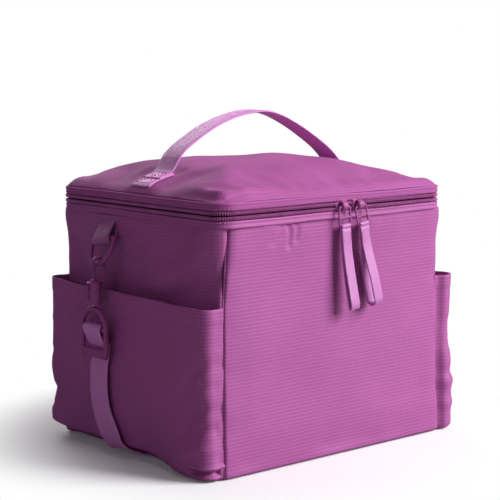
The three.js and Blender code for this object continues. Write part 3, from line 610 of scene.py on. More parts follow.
def outline(offset, step=3.0):
    """The closed plan outline of the zip band: points, outward directions and the run along it."""
    x, y, r = BAND_X - BAND_CORNER, BAND_Y - BAND_CORNER, BAND_CORNER + offset
    middles = np.array([(-x, -y), (x, -y), (x, y), (-x, y)])
    points, normals = [], []
    for k in range(4):
        count = max(int(r * pi / 2 / 2.4), 4)
        for i in range(count + 1):
            angle = pi * (1 + k / 2) + pi / 2 * i / count
            normals.append(np.array([cos(angle), sin(angle)]))
            points.append(middles[k] + r * normals[-1])
        end, goal = points[-1], middles[(k + 1) % 4] + r * normals[-1]
        count = int(np.linalg.norm(goal - end) / step)
        points += [end + (goal - end) * i / count for i in range(1, count)]
        normals += [normals[-1]] * (count - 1)
    return np.array(points), np.array(normals), run_along(points)


def rimmed(base, normals, run, section, closed, lift=0.0):
    """Points, faces and cloth place of an (offset, height) section carried along plan points."""
    section = np.array(section)
    lift = np.broadcast_to(lift, len(run))[:, None]
    plan = base[:, None] + normals[:, None] * (section[:, 0] + 0.4 * lift)[..., None]
    points = np.dstack([plan, section[:, 1] + 0.6 * lift])
    weave = np.dstack(np.meshgrid(run, section[:, 1], indexing="ij"))
    return points.reshape(-1, 3), tube_faces(*points.shape[:2], closed), weave.reshape(-1, 2)


def facing_section(low, high, fold_low):
    """A folded facing: a plump turned edge on its seam side, flat towards the zip."""
    plump, flat = (low, high) if fold_low else (high, low)
    way = 1 if fold_low else -1
    tall = high - low
    outer = [
        (-0.6, plump), (0.7, plump - way * 0.15), (1.35, plump + way * 0.5), (1.5, plump + way * 1.2),
        (1.2, plump + way * 2.0), (1.0, plump + way * tall * 0.5), (1.05, plump + way * tall * 0.75),
        (1.0, flat - way * 0.5), (0.75, flat - way * 0.05), (0.2, flat), (-0.6, flat - way * 0.3),
    ]
    return outer if fold_low else outer[::-1]


def add_zip_band():
    base, normals, run = outline(0)
    fine, out, _ = outline(0, 2.0)
    fine, out = np.vstack([fine, fine[:1]]), np.vstack([out, out[:1]])
    for word, body, material, low, high, wobble, stitched in (
        ("lower", "bag", CLOTH, BAND_LOW - 0.4, FACING_TOP - 0.2, 0.35, FACING_TOP - 1.5),
        ("upper", "lid", LID_CLOTH, FACING_LOW + 0.2, BAND_TOP + 0.3, 0.3, FACING_LOW + 1.5),
    ):
        lift = wobble * waves(run, 0, 4, 60, 160)
        part = rimmed(base, normals, run, facing_section(low, high, word == "lower"), True, lift)
        stands_for(merged(f"{word}_facing", [part], material, body), "shell_fabric", f"{word}_zip_facing")
        stitches = stitch_row(columns(fine + out * 1.15, stitched), columns(out, 0), 2.4, 1.0, 0.28)
        stands_for(merged(f"{word}_facing_stitches", stitches, THREAD, body), "zip_tape")


def zip_line(step):
    """Plan points, outward directions and run of the zip, from its back left end to its back right end."""
    base, normals, _ = outline(0, 1.5)
    line = np.hstack([base, normals])[np.argsort(np.arctan2(base[:, 0], -base[:, 1]))]
    line = line[(line[:, 1] < BAND_Y - 1) | (np.abs(line[:, 0]) > 90)]
    run = run_along(line[:, :2])
    at = np.arange(0.6, run[-1] - 0.6, step)
    line = np.stack([np.interp(at, run, part) for part in line.T], 1)
    away = line[:, 2:]
    return line[:, :2], away / np.linalg.norm(away, axis=1)[:, None], at


def add_teeth(word, body, steps=6):
    low, high = (corner[2] for corner in corners(f"{word}_zip_coil"))
    levels = ((low, 0.45), (low + 0.5, 0.9), ((low + high) / 2, 1.0), (high - 0.5, 0.9), (high, 0.45))
    angle = np.linspace(-0.15, pi + 0.15, steps)[:, None]
    last = (len(levels) - 1) * steps
    tooth = flipped(grid_faces(len(levels), steps) + end_caps(steps, last))
    parts = []
    for spot, away, _ in zip(*zip_line(2.05)):
        beside = np.array([-away[1], away[0]])
        rings = [
            columns(spot + beside * 0.72 * np.cos(angle) * (0.6 + 0.4 * grow)
                    + away * (1.9 * grow * np.sin(angle) - 0.2), height)
            for height, grow in levels
        ]
        parts.append((np.vstack(rings), tooth))
    stands_for(merged(f"{word}_teeth", parts, COIL, body), "zip_coil", f"{word}_zip_coil")


def add_zip():
    for word, body, low, high, cord in (
        ("lower", "bag", BAND_LOW, ZIP_Z - 0.7, ZIP_Z - 1.4),
        ("upper", "lid", ZIP_Z + 0.7, BAND_TOP, ZIP_Z + 1.4),
    ):
        add_teeth(word, body)
        section = [(-1.9, low), (-0.9, low), (-0.7, cord), (-0.9, high), (-1.9, high)]
        tape = rimmed(*zip_line(3.0), section, False)
        stands_for(merged(f"{word}_tape", [tape], TAPE, body), "zip_tape", f"{word}_zip_tape")


def add_hinge():
    low, high = corners("hinge_strip")
    u, v = np.meshgrid(np.linspace(HINGE_HALF, -HINGE_HALF, 61), np.linspace(low[2] - 0.6, high[2] + 0.6, 15))
    y = high[1] + 0.5 * np.sin((v - low[2]) / 20 * pi) + 0.12 * waves(u, v, 12, 12, 40)
    sheet = np.dstack([u, y, v])
    piece = new_piece("hinge_cloth", sheet, grid_faces(*u.shape), CLOTH, None, np.dstack([u, v]))
    thickened(piece, 1.0)
    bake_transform(piece)
    stands_for(piece, "shell_fabric", "hinge_strip")


# ---- lid ----

CROWN_BASE = corners("lid_panel")[0][2]


def crown(inset):
    shoulder = 8 * (1 - np.exp(-inset / 6))
    across = np.clip(inset / BAND_Y, 0, 1)
    return shoulder + 18 * np.sin(across * pi / 2) ** 1.2


def edge_distance(x, y):
    """How far inside the band's outline a plan point is."""
    qx = np.abs(x) - (BAND_X - BAND_CORNER)
    qy = np.abs(y) - (BAND_Y - BAND_CORNER)
    outside = np.hypot(np.maximum(qx, 0), np.maximum(qy, 0))
    return BAND_CORNER - outside - np.minimum(np.maximum(qx, qy), 0)


def rim_run(x, y):
    """Roughly how far round the rim a plan point is, in mm."""
    return np.arctan2(y / BAND_Y, x / BAND_X) * RIM_RADIUS


def patch_press(x, y):
    """One on the sewn handle patches, falling to nothing beside them."""
    dx = np.maximum(np.abs(np.abs(x) - 110.5) - 14, 0)
    dy = np.maximum(np.abs(y) - 13, 0)
    return 1 - ease(np.hypot(dx, dy) / 12)


def filled(rim, inner):
    """Points and triangles that fill a plan outline, with the inner points among them."""
    rows = [Vector(point) for point in [*rim, *inner]]
    edges = [(i, (i + 1) % len(rim)) for i in range(len(rim))]
    points, _, faces, _, _, _ = delaunay_2d_cdt(rows, edges, [], 1, 1e-4)
    return np.array([tuple(point) for point in points]), [tuple(face) for face in faces]


def lid_shape(step=3.4):
    """The flat cut of the lid, as staggered points and triangles."""
    inner, count, y = [], 0, -BAND_Y
    while y < BAND_Y:
        x = -BAND_X + (step / 2 if count % 2 else 0)
        while x < BAND_X:
            if edge_distance(x, y) > 2.2:
                inner.append((x, y))
            x += step
        y += step * 0.866
        count += 1
    return filled(outline(-0.4)[0], inner)


def billow(piece, hold, pressure, frames, slack):
    """Lets the cloth swell under pressure and keeps the result. hold is how firmly each point is pinned."""
    group = piece.vertex_groups.new(name="pinned")
    for index in np.flatnonzero(hold):
        group.add([int(index)], float(hold[index]), "REPLACE")
    cloth = piece.modifiers.new("cloth", "CLOTH")
    for key, value in dict(
        quality=6, mass=0.25, tension_stiffness=30, compression_stiffness=30, shear_stiffness=12,
        bending_stiffness=0.4, air_damping=4, use_pressure=True, uniform_pressure_force=pressure,
        shrink_min=-slack, vertex_group_mass="pinned", pin_stiffness=2,
    ).items():
        setattr(cloth.settings, key, value)
    cloth.settings.effector_weights.gravity = 0
    cloth.collision_settings.use_collision = False
    cloth.point_cache.frame_start, cloth.point_cache.frame_end = 1, frames
    scene = bpy.context.scene
    scene.frame_start, scene.frame_end = 1, frames
    for number in range(1, frames + 1):
        scene.frame_set(number)
    settled(piece)
    piece.vertex_groups.clear()
    scene.frame_set(1)


def places(piece):
    """The piece's points, in millimetres."""
    co = np.empty(len(piece.data.vertices) * 3)
    piece.data.vertices.foreach_get("co", co)
    return co.reshape(-1, 3) * 1000


def set_places(piece, co):
    piece.data.vertices.foreach_set("co", (co / 1000).ravel())
    piece.data.update()


def evened(piece, co, held, rounds):
    """Softens the sharpest creases: each free point moves half way to the middle of its neighbours."""
    pairs = np.array([edge.vertices[:] for edge in piece.data.edges])
    count = np.bincount(pairs.ravel(), minlength=len(co))[:, None]
    for _ in range(rounds):
        total = np.zeros_like(co)
        np.add.at(total, pairs[:, 0], co[pairs[:, 1]])
        np.add.at(total, pairs[:, 1], co[pairs[:, 0]])
        co = np.where(held[:, None], co, 0.5 * co + 0.5 * total / count)
    return co


def add_lid():
    flat, faces = lid_shape()
    x, y = flat.T
    inset = np.maximum(edge_distance(x, y), 0)
    start = columns(flat, CROWN_BASE + crown(inset) * 0.97)
    piece = new_piece("lid_cloth", start, faces, LID_CLOTH, None, flat)
    rim = inset < PINNED_EDGE
    hold = np.where(rim, 1.0, 0.6 * (patch_press(x, y) > 0.95))
    billow(piece, hold, pressure=2.6, frames=26, slack=0.035)
    move = places(piece) - start
    share = np.minimum(LID_SWELL / np.maximum(np.linalg.norm(move, axis=1), 1e-9), 1)
    co = evened(piece, start + move * share[:, None], rim, rounds=7)
    x, y, z = co.T
    run = rim_run(x, y)
    near_corner = rim_run(-BAND_X, -BAND_Y)
    z += 1.5 * puckers(run, inset, 14, 15, 11) * ease(inset / 4)
    z += 0.8 * waves(x, y, 9, 50, 110) * ease(inset / 20)
    z -= 4.2 * hill(inset, 4.6, 2.3) * hill(run, near_corner, 26)
    z += 2.4 * hill(inset, 10, 3.4) * hill(run, near_corner, 30)
    z -= (1.0 + 2.2 * x / BAND_X) * ease(inset / 25)
    z += (CROWN_BASE + crown(inset) - 0.1 - z) * patch_press(x, y)
    set_places(piece, co)
    smooth = piece.modifiers.new("smooth", "SUBSURF")
    smooth.levels = smooth.render_levels = 1
    settled(piece)
    thickened(piece, CLOTH_THICK)
    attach(piece, "lid")
    stands_for(piece, "shell_fabric", "lid_panel")
    return piece


# ---- top handle ----

HANDLE_KNOTS = [
    (-114, 238.1), (-109, 239.7), (-104, 241.3), (-99.8, 244), (-96.2, 248.6), (-91.6, 255.4), (-84.3, 262),
    (-74, 268.4), (-63.4, 274.3), (-52, 279.8), (-40, 284.4), (-27, 288.2), (-13.8, 290.9), (0, 292),
    (11, 291.4), (24.7, 288), (38, 282.6), (52.7, 275.4), (65, 268.4), (76.9, 261.1), (85.4, 255.2),
    (92, 249.6), (97.4, 244.4), (103, 241.2), (109, 239.7), (114, 238.1),
]


def add_handle():
    path = smooth_path([(x, 0, z) for x, z in HANDLE_KNOTS], 6)
    piece = merged("handle_strap", [swept(path, web_section(2.0), (0, 1, 0))], WEB, None)
    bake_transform(piece)
    stands_for(piece, "webbing", "handle_webbing")
    low, high, half = 103.5, 122.5, 9.8
    a, b, c, d = (low, -half), (high, -half), (high, half), (low, half)
    bar_tack = ((low - 1.6, half + 1), (low - 1.6, -half - 1))
    cross_stitch = ((a, b), (b, c), (c, d), (d, a), (a, c), (d, b), bar_tack)
    for side, name in ((-1, "left"), (1, "right")):
        x = side * np.linspace(125.5, 99.0, 22)
        z = CROWN_BASE + crown(BAND_X - np.abs(x)) + 1.2
        z[:2] -= 0.5
        part = swept(columns(x, 0, z), web_section(1.9), (0, 1, 0))
        piece = merged(f"{name}_handle_end", [part], WEB, "lid")
        stands_for(piece, "webbing", f"{name}_handle_patch")
        stitches = []
        for start, end in cross_stitch:
            x, y = np.linspace(start, end, 14).T
            z = CROWN_BASE + crown(BAND_X - x) + 2.3
            z += 1.1 * ease((114.2 - x) / 1.2) + 0.5 * ease((108 - x) / 6)
            stitches += stitch_row(columns(side * x, y, z), (side * 0.1, 0, 1), 2.2, 0.9, 0.34)
        stands_for(merged(f"{name}_handle_stitches", stitches, THREAD, "lid"), "webbing")


# ---- end pockets ----

def pocket_relief(side, y, z):
    """How far the pocket face stands outside its plain plan. y runs from the front at -1 to the back at 1."""
    low = 1 - ease(z / 60)
    if side < 0:
        back, front = ease((y - 0.35) / 0.6), ease((-y - 0.3) / 0.6)
        return 1.2 * low + (4.8 - 2.6 * hill(z, 38, 15) - 1.6 * low) * back + 1.6 * hill(z, 20, 30) * front
    front = ease((-y - 0.35) / 0.6)
    return 1.2 * low + (7.6 - 2.8 * hill(z, 92, 16) + 1.4 * hill(z, 50, 24)) * front


def add_pocket(side):
    name = "left" if side < 0 else "right"
    heights = [np.arange(5.9, 20, 0.9), np.linspace(21, 130, 56), np.linspace(131.5, POCKET_TOP, 9)]
    rows = np.vstack([[(0.9, 10.0), (0.7, 7.0)], foot_rows(4.4, 0.6, 9), columns(np.concatenate(heights), 0)])
    roll, half = 8.5, POCKET_HALF + 0.6
    gusset = POCKET_FACE - HALF_X - roll
    face = gusset + roll * pi / 2
    total = 2 * (face + half - roll)
    t = np.concatenate([
        np.linspace(-3, face + 6, 30), np.linspace(face + 8, total - face - 8, 80),
        np.linspace(total - face - 6, total + 3, 30),
    ])
    t, z, tuck = np.broadcast_arrays(t, rows[:, :1], rows[:, 1:])
    run = np.minimum(t, total - t)
    angle = np.clip((run - gusset) / roll, 0, pi / 2)
    over = np.maximum(run - face, 0)
    n_out, n_across = np.sin(angle), np.cos(angle)
    out = np.minimum(run, gusset) + roll * n_out
    sign = np.where(t > total / 2, 1.0, -1.0)
    y = sign * (half - roll + roll * n_across - over)
    spread = ease(out / 10)
    relief = (pocket_relief(side, y / half, z) + 0.7 * waves(y, z, 41 + side, 50, 120)) * spread
    ripple = puckers(z, over, 51 + side, 15, 15) * np.exp(-over / 16) * ease((125 - z) / 30)
    relief += 2.0 * ripple * ease(out / 6) - 1.2 * hill(y, 0, 70) * ease((z - 100) / 43) * ease(over / 30)
    if side < 0:
        relief += crease(y, z, (-104, 96), (-72, 62), 6, -1.8) + crease(y, z, (-104, 60), (-78, 40), 6, -2.0)
        fold = (1 - ease((over - 9) / 5)) * (y < 0)
        relief += crease(y, z, (-102, 26), (-66, 12), 7, 2.0)
        relief += (1.6 * hill(z, 11.6, 1.8) - 7.0 * hill(z, 7.2, 2.1)) * fold
    hem = 0.5 * ease(z - 131)
    x = HALF_X + out - tuck * ease(out / 6) + (relief + hem) * n_out
    swell = np.maximum(body_swell(z), 0) * 0.8
    y = y + sign * (relief * n_across * 0.6 + swell - tuck * 0.9 + hem * n_across)
    lift = (8.6 * ease((y + 88) / 62) + 3.6 * ease((y - 66) / 42)) * (1 - ease(z / 55)) * spread
    lift -= 1.6 * ease(over / 40) * ease((z - 90) / 53)
    if side < 0:
        lift += 2.2 * (ease((y - 30) / 75) - ease((-y - 30) / 75)) * ease((z - 60) / 83)
    faces = grid_faces(*t.shape)
    if side < 0:
        faces = flipped(faces)
    points = np.dstack([side * x, y, z + lift])
    piece = new_piece(f"{name}_pocket_cloth", points, faces, CLOTH, "bag", np.dstack([t, z]))
    thickened(piece, CLOTH_THICK)
    stands_for(piece, "shell_fabric", f"{name}_pocket")


# ---- base, lining and padding ----

def plan_sheet(offset, step=6.0):
    """Triangles that fill the plan outline of the zip band, grown by offset."""
    inner = [(x, y) for y in np.arange(-BAND_Y, BAND_Y, step) for x in np.arange(-BAND_X, BAND_X, step)]
    return filled(outline(offset, step)[0], [point for point in inner if edge_distance(*point) > 2 - offset])


def add_base():
    flat, faces = plan_sheet(-10.0)
    z = 2.6 + 0.25 * waves(*flat.T, 61, 40, 90) - 1.3 * (1 - ease((edge_distance(*flat.T) - 10) / 8))
    piece = new_piece("base_cloth", columns(flat, z), flipped(faces), CLOTH, "bag", flat)
    thickened(piece, 1.4)
    stands_for(piece, "shell_fabric", "base_panel")


def softened(node, name, material, size, seed):
    """A padded copy of a hidden layer: its edges rounded and its faces made uneven."""
    mesh = frame["nodes"][node].data.copy()
    mesh.materials.clear()
    mesh.materials.append(material)
    piece = bpy.data.objects.new(name, mesh)
    bpy.context.scene.collection.objects.link(piece)
    work = bmesh.new()
    work.from_mesh(mesh)
    bmesh.ops.remove_doubles(work, verts=work.verts, dist=1e-5)
    bmesh.ops.dissolve_limit(work, angle_limit=radians(2), verts=work.verts, edges=work.edges)
    work.to_mesh(mesh)
    work.free()
    rounding = piece.modifiers.new("rounding", "BEVEL")
    rounding.width = size / 1000
    rounding.segments = 2
    rounding.limit_method = "ANGLE"
    settled(piece)
    piece.data.shade_smooth()
    co = places(piece)
    co[:, 2] += 0.15 * waves(co[:, 0], co[:, 1], seed, 30, 80) * ease((co[:, 2].max() - co[:, 2]) / 3)
    set_places(piece, co)
    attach(piece, "bag")
    return piece


def add_pad(side, seed):
    """The foam behind one wall: it follows the wall with its own uneven thickness."""
    low, high = corners(f"{side}_foam")
    s, z = np.broadcast_arrays(wall_shares(57) * 0.97, np.linspace(low[2], high[2], 36)[:, None])
    spot, away, run, _ = wall_plan(side, s, 4.4 - body_swell(z), z)
    puff = 0.8 + 0.25 * waves(run, z, seed, 20, 60)
    points = np.dstack([spot + away * puff[..., None], z])
    piece = new_piece(f"{side}_pad", points, grid_faces(*s.shape), FOAM, "bag", np.dstack([run, z]))
    thickened(piece, PAD_THICK)
    stands_for(piece, "foam", f"{side}_foam")


def add_padding():
    stands_for(softened("base_board", "stiff_board", BOARD, 0.5, 71), "board", "base_board")
    stands_for(softened("base_foam", "floor_pad", FOAM, 1.5, 72), "foam", "base_foam")
    for k, side in enumerate(("front", "back", "left", "right")):
        add_pad(side, 73 + k)


def add_lid_pad(cloth):
    """The foam in the lid: flat below, and clear of the cloth everywhere above."""
    low, high = corners("lid_foam")
    flat, faces = plan_sheet(-6.0, 5.0)
    spots = places(cloth)
    tree = KDTree(len(spots))
    for k, (x, y, _) in enumerate(spots):
        tree.insert((x, y, 0), k)
    tree.balance()
    over = np.array([min(spots[k][2] for _, k, _ in tree.find_n((x, y, 0), 14)) for x, y in flat])
    bottom = low[2] + 0.8
    top = np.clip(over - 1.4, bottom + 0.6, high[2])
    piece = new_piece("lid_pad", columns(flat, top), faces, FOAM, "lid", flat)
    thickened(piece, 1.0)
    co = places(piece)
    co[len(flat):, 2] = bottom
    set_places(piece, co)
    stands_for(piece, "foam", "lid_foam")


def add_liner():
    """The lining: four crinkled walls and a floor in one skin, turned over at the top into the zip facing."""
    floor = corners("liner_tub")[0][2] + 0.4
    rows = [(floor, 30.0), (floor, 18.0), (floor, 10.0)]
    rows += [(floor + 0.6, 4.5), (floor + 2.4, 1.4), (floor + 5, 0.2)]
    rows += [(z, 0.0) for z in np.linspace(floor + 8, 200, 50)]
    rows += [(203.0, -0.4), (204.8, -2.6), (205.9, -6.0), (206.3, -9.4)]
    base, normals, run = outline(0, 4.0)
    share = np.clip(base / (BAND_X - BAND_CORNER, BAND_Y - BAND_CORNER), -1, 1)
    rings, weave = [], []
    for z, inward in rows:
        r = max(14 - max(inward, 0) * 0.5, 6.0)
        puff = (0.6 * waves(run, z, 83, 25, 70) - 0.8) * ease((z - floor - 6) / 10) * ease((204 - z) / 8)
        plan = share * (np.array([HALF_X, HALF_Y]) - LINER_GAP - inward - r) + normals * (r + puff)[:, None]
        rings.append(columns(plan, z))
        weave.append(columns(run, z))
    faces = flipped(grid_faces(len(rings), len(run), wrap=True)) + [tuple(range(len(run)))]
    piece = new_piece("lining", np.vstack(rings), faces, LINER, "bag", np.vstack(weave))
    thickened(piece, LINING_THICK)
    stands_for(piece, "liner", "liner_tub")


def add_lid_lining():
    flat, faces = plan_sheet(-3.4, 5.0)
    inset = edge_distance(*flat.T) - 3.4
    z = corners("lid_liner")[0][2] + 0.6 - 1.6 * ease(inset / 16) + 3.4 * (1 - ease(inset / 5))
    z += 0.4 * waves(*flat.T, 91, 25, 70) * ease(inset / 12)
    piece = new_piece("lid_lining", columns(flat, z), flipped(faces), LINER, "lid", flat)
    thickened(piece, LINING_THICK)
    stands_for(piece, "liner", "lid_liner")


# ---- zip sliders, pulls and loops ----

def joint_place(name):
    """The joint's axis point, in millimetres."""
    return next(np.array(joint["pos_m"]) * 1000 for joint in frame["joints"] if joint["name"] == name)


def puffed(centre, half, power=3.0, steps=14):
    """A closed body from a ball to a rounded block, as power grows."""
    ring_x, ring_y = lobe(np.arange(2 * steps) * pi / steps, power)
    level, height = (part[:, None] for part in lobe(np.linspace(-pi / 2, pi / 2, steps + 1)[1:-1], power))
    points = np.dstack(np.broadcast_arrays(level * ring_x, level * ring_y, height)).reshape(-1, 3)
    count, wide = len(points), len(ring_x)
    faces = grid_faces(steps - 1, wide, wrap=True)
    last = count - wide
    for c in range(wide):
        ahead = (c + 1) % wide
        faces += [(count, ahead, c), (count + 1, last + c, last + ahead)]
    return np.vstack([points, [(0, 0, -1), (0, 0, 1)]]) * half + centre, faces


def add_slider(word, nose):
    """A zip slider: two shields on a neck, and a bridge for the pull. nose is its narrow side."""
    low, high = corners(f"{word}_slider")
    x, z = (low[0] + high[0]) / 2, ZIP_Z
    bridge_y = joint_place(f"{word}_tab_flip")[1]
    plate = bridge_y + 3.6
    parts = [
        puffed((x - nose * 1.4, plate + 0.4, z), (5.0, 1.3, 5.0)),
        puffed((x + nose * 3.4, plate + 0.6, z), (3.6, 1.1, 2.9), 2.6),
        puffed((x, high[1] - 0.9, z), (6.0, 0.8, 4.4)),
        puffed((x - nose * 2.6, plate + 4.0, z), (1.6, 3.8, 1.2)),
    ]
    rim = ((-6.2, 1.0, 4.6), (-2.0, 0.9, 4.9), (2.6, 0.9, 3.4), (6.4, 1.0, 2.5))
    for way in (-1, 1):
        path = smooth_path([(x + nose * a, plate + b, z + way * c) for a, b, c in rim], 5)
        parts.append(swept(path, oval(1.6, 1.9, 10, 2.6), (0, 0, 1)))
    angle = np.linspace(-pi / 2, pi / 2, 17)
    bridge = columns(x, bridge_y + 2.6 - 4.3 * np.cos(angle), z + 0.6 + 3.6 * np.sin(angle))
    parts.append(swept(bridge, oval(5.4, 1.5, 14, 2.6), (1, 0, 0), scale=1 + 0.16 * np.cos(angle)))
    piece = merged(f"{word}_slider_body", parts, PLASTIC, f"{word}_slider")
    stands_for(piece, "moulded_plastic", f"{word}_slider")


def swung(points, angle, origin=0, axis=0):
    """Turns points in the plane of one axis and z, so that what hangs down swings to +axis."""
    points = np.array(points, float).reshape(-1, 3)
    flat, tall = points[:, axis].copy(), points[:, 2].copy()
    points[:, axis] = flat * cos(angle) - tall * sin(angle)
    points[:, 2] = flat * sin(angle) + tall * cos(angle)
    return points + origin


def rounded_loop(half, low, corner):
    """A closed rounded rectangle of (across, height) points, with its top at 0."""
    x, top, foot = half - corner, -corner, low + corner
    middles = ((x, top), (-x, top), (-x, foot), (x, foot))
    quarters = [arc(*spot, corner, k * pi / 2, (k + 1) * pi / 2, 5) for k, spot in enumerate(middles)]
    points = np.vstack(quarters)
    spread = []
    for a, b in zip(points, np.roll(points, -1, 0)):
        count = max(int(np.linalg.norm(b - a) / 1.2), 1)
        spread += [a + (b - a) * i / count for i in range(count)]
    return np.array(spread)


TAB_LENGTH, TAB_HALF, TAB_CROSS = 17, 6.35, 9.2
TAB_TILTS = {"left": radians(4), "right": radians(14)}
LOOP_TILTS = {"left": radians(5.5), "right": radians(10)}


def add_tab(word):
    axis, tilt = joint_place(f"{word}_tab_flip"), TAB_TILTS[word]
    ring = rounded_loop(TAB_HALF, -TAB_LENGTH, 2.2)
    path = swung(columns(ring[:, 0], 0, ring[:, 1]), tilt, axis)
    parts = [swept(path, oval(1.5, 1.7, 10, 2.8), (0, 1, 0), True)]
    for height, tall in ((-TAB_CROSS, 1.6), (-TAB_LENGTH, 1.5)):
        bar = swung(columns(np.linspace(-TAB_HALF, TAB_HALF, 8), 0, height), tilt, axis)
        parts.append(swept(bar, oval(1.4, tall, 10, 2.8), (0, 1, 0)))
    piece = merged(f"{word}_tab_frame", parts, PLASTIC, f"{word}_pull_tab")
    stands_for(piece, "moulded_plastic", f"{word}_pull_tab")


def add_pull_loop(word, opening, lean):
    """A webbing loop sewn round the tab's low bar. Below the stitching its layers part by up to opening."""
    bar, tilt = joint_place(f"{word}_loop_swing"), LOOP_TILTS[word]
    sewn, low, fold = 16.0, 66.0, 5
    down = np.concatenate([np.linspace(2, sewn, 6), np.linspace(sewn + 3, low, 18)])
    t = np.clip((down - sewn) / (low - sewn), 0, 1)
    gap = 0.95 + opening / 2 * ease(t * 1.25) ** 0.8 * (1 - 0.12 * t)
    out = -lean * t ** 1.6
    top = np.linspace(pi, 0, 9)[1:-1]
    bottom = np.linspace(0, -pi, 11)[1:-1]
    y = np.concatenate([-1.9 * np.cos(top), out + gap, out[-1] + gap[-1] * np.cos(bottom), (out - gap)[::-1]])
    z = np.concatenate([1.9 * np.sin(top), -down, -low + fold * np.sin(bottom), -down[::-1]])
    path, across = swung(columns(0, y, z), tilt, bar), swung((1, 0, 0), tilt)
    part = swept(path, web_section(1.5, LOOP_WIDTH), across, True)
    piece = merged(f"{word}_loop_webbing", [part], LIGHT_WEB, f"{word}_pull_loop")
    stands_for(piece, "webbing", f"{word}_pull_loop")
    stitches = []
    for start, end in (((-3.6, -5), (3.6, -5)), ((-3.6, -13.5), (3.6, -13.5)),
                       ((-3.8, -5), (-3.8, -13.5)), ((3.8, -5), (3.8, -13.5))):
        x, z = np.linspace(start, end, 10).T
        stitches += stitch_row(swung(columns(x, -1.72, z), tilt, bar), (0, -1, 0), 1.7, 0.7, 0.26)
    stands_for(merged(f"{word}_loop_stitches", stitches, THREAD, f"{word}_pull_loop"), "webbing")


# ---- D rings, clips and shoulder strap ----

RING_BAR = joint_place("left_ring_swing")
RING_SLOPE, RING_LEAN = radians(25), radians(12)
RING_HALF, RING_SIDE = 16.0, 6.6
CLIP_X, CLIP_Y = middle("left_swivel_pin")[:2]
BARREL_LOW, BARREL_HIGH = 130.0, 150.0
BUCKLE_LOW, BUCKLE_HIGH = corners("left_buckle")[0][2], corners("left_buckle")[1][2]
BUCKLE_BAR = 109.5
STRAP_X = middle("left_strap_drop")[0]
STRAP_TOP = corners("left_strap_drop")[1][2]
RUN_Y = -19.0


def mirrored(part):
    return (part[0] * (-1, 1, 1), flipped(part[1]), *part[2:])


def both_ends(name, parts, material, body, slot, *nodes):
    """Makes a piece at the left end and its mirror image at the right end."""
    pieces = []
    for word, kept in (("left", parts), ("right", [mirrored(part) for part in parts])):
        piece = merged(f"{word}_{name}", kept, material, body if body in ("bag", None) else f"{word}_{body}")
        stands_for(piece, slot, *[f"{word}_{node}" for node in nodes])
        pieces.append(piece)
    return pieces


def leaned(points, origin=0):
    """Turns points about x by the lean of the ring."""
    return swung(points, -RING_LEAN, origin, 1)


def sloped(points):
    """Turns points about y by the slope of the ring."""
    return swung(points, -RING_SLOPE)


def fold_line(tail, radius, half, steps=15):
    """Webbing folded round a bar at the origin: from its tail, round the bar and back."""
    tail = np.asarray(tail, float)
    reach = atan2(tail[1], tail[0])
    fold = arc(0, 0, radius, reach + pi / 2, reach + 3 * pi / 2, steps)
    side = half * np.array([-sin(reach), cos(reach)])
    t = np.linspace(0, 1, 7)[:-1, None]
    bulge = side * 0.8 * np.sin(pi * t ** 1.6)
    first = (tail + side) + (fold[0] - tail - side) * t + bulge
    last = (tail - side) + (fold[-1] - tail + side) * t - bulge
    flat = np.vstack([first, fold, last[::-1]])
    return columns(flat[:, 0], 0, flat[:, 1])


def add_ring_tab():
    path = leaned(fold_line((9.4, 16.4), 3.5, 0.9), RING_BAR)
    part = swept(path, web_section(1.7), leaned((0, 1, 0)))
    both_ends("ring_webbing", [part], TAB_WEB, "bag", "webbing", "ring_tab")
    stitches, out = [], np.array([-0.87, 0, 0.48])
    for share in (0.52, 0.68):
        middle_x, _, middle_z = np.array([9.6, 0, 17.5]) * share + out * 2.05
        line = leaned(columns(middle_x, np.linspace(-10, 10, 16), middle_z), RING_BAR)
        stitches += stitch_row(line, leaned(out)[0], 2.0, 0.8, 0.28)
    both_ends("ring_stitches", stitches, THREAD, "bag", "webbing")


def add_d_ring(corner=3.0):
    side = RING_HALF - corner
    ring = np.vstack([
        arc(0, -RING_SIDE, RING_HALF, pi, TAU, 25), arc(side, -corner, corner, 0, pi / 2, 5),
        columns(np.linspace(side - 2, 2 - side, 9), 0), arc(-side, -corner, corner, pi / 2, pi, 5),
    ])
    path = leaned(sloped(columns(0, ring)), RING_BAR)
    part = swept(path, oval(4.0, 4.1, 16, 2.2), leaned(sloped((1, 0, 0))), True)
    both_ends("ring_wire", [part], PLASTIC, "ring", "painted_zinc", "d_ring")


def barrel(around=120):
    """The clip's body: a rounded oval barrel with a slot for the thumb knob on its outer side."""
    rise, ends = 1.8, np.linspace(0, pi / 2, 6)
    low, shrink = BARREL_LOW + rise * (1 - np.cos(ends)), rise * (1 - np.sin(ends))
    upright = np.arange(BARREL_LOW + rise + 0.5, BARREL_HIGH - rise - 0.2, 0.5)
    z = np.concatenate([low, upright, BARREL_LOW + BARREL_HIGH - low[::-1]])
    inset = np.concatenate([shrink, upright * 0, shrink[::-1]]) + 0.35 * hill(z, 133.6, 0.5)
    z, angle = np.meshgrid(z, np.arange(around) * TAU / around, indexing="ij")
    x = np.cos(angle) * (5.2 - inset[:, None])
    y = np.sin(angle) * (7.5 - inset[:, None])
    beside = np.maximum(np.abs(y) - 1.5, np.abs(z - 141.7) - 5.5)
    x = x + (3.0 * (1 - ease(beside / 0.5)) - 0.4 * hill(beside, 1.2, 0.7)) * (x < 0)
    points = np.dstack([CLIP_X + x, CLIP_Y + y, z]).reshape(-1, 3)
    last = len(points) - around
    return points, grid_faces(len(z), around, wrap=True) + end_caps(around, last)


def clip_post(heights, section, scale):
    """A round bar on the clip's own axis."""
    return swept(columns(CLIP_X, CLIP_Y, heights), section, (0, 1, 0), scale=scale)


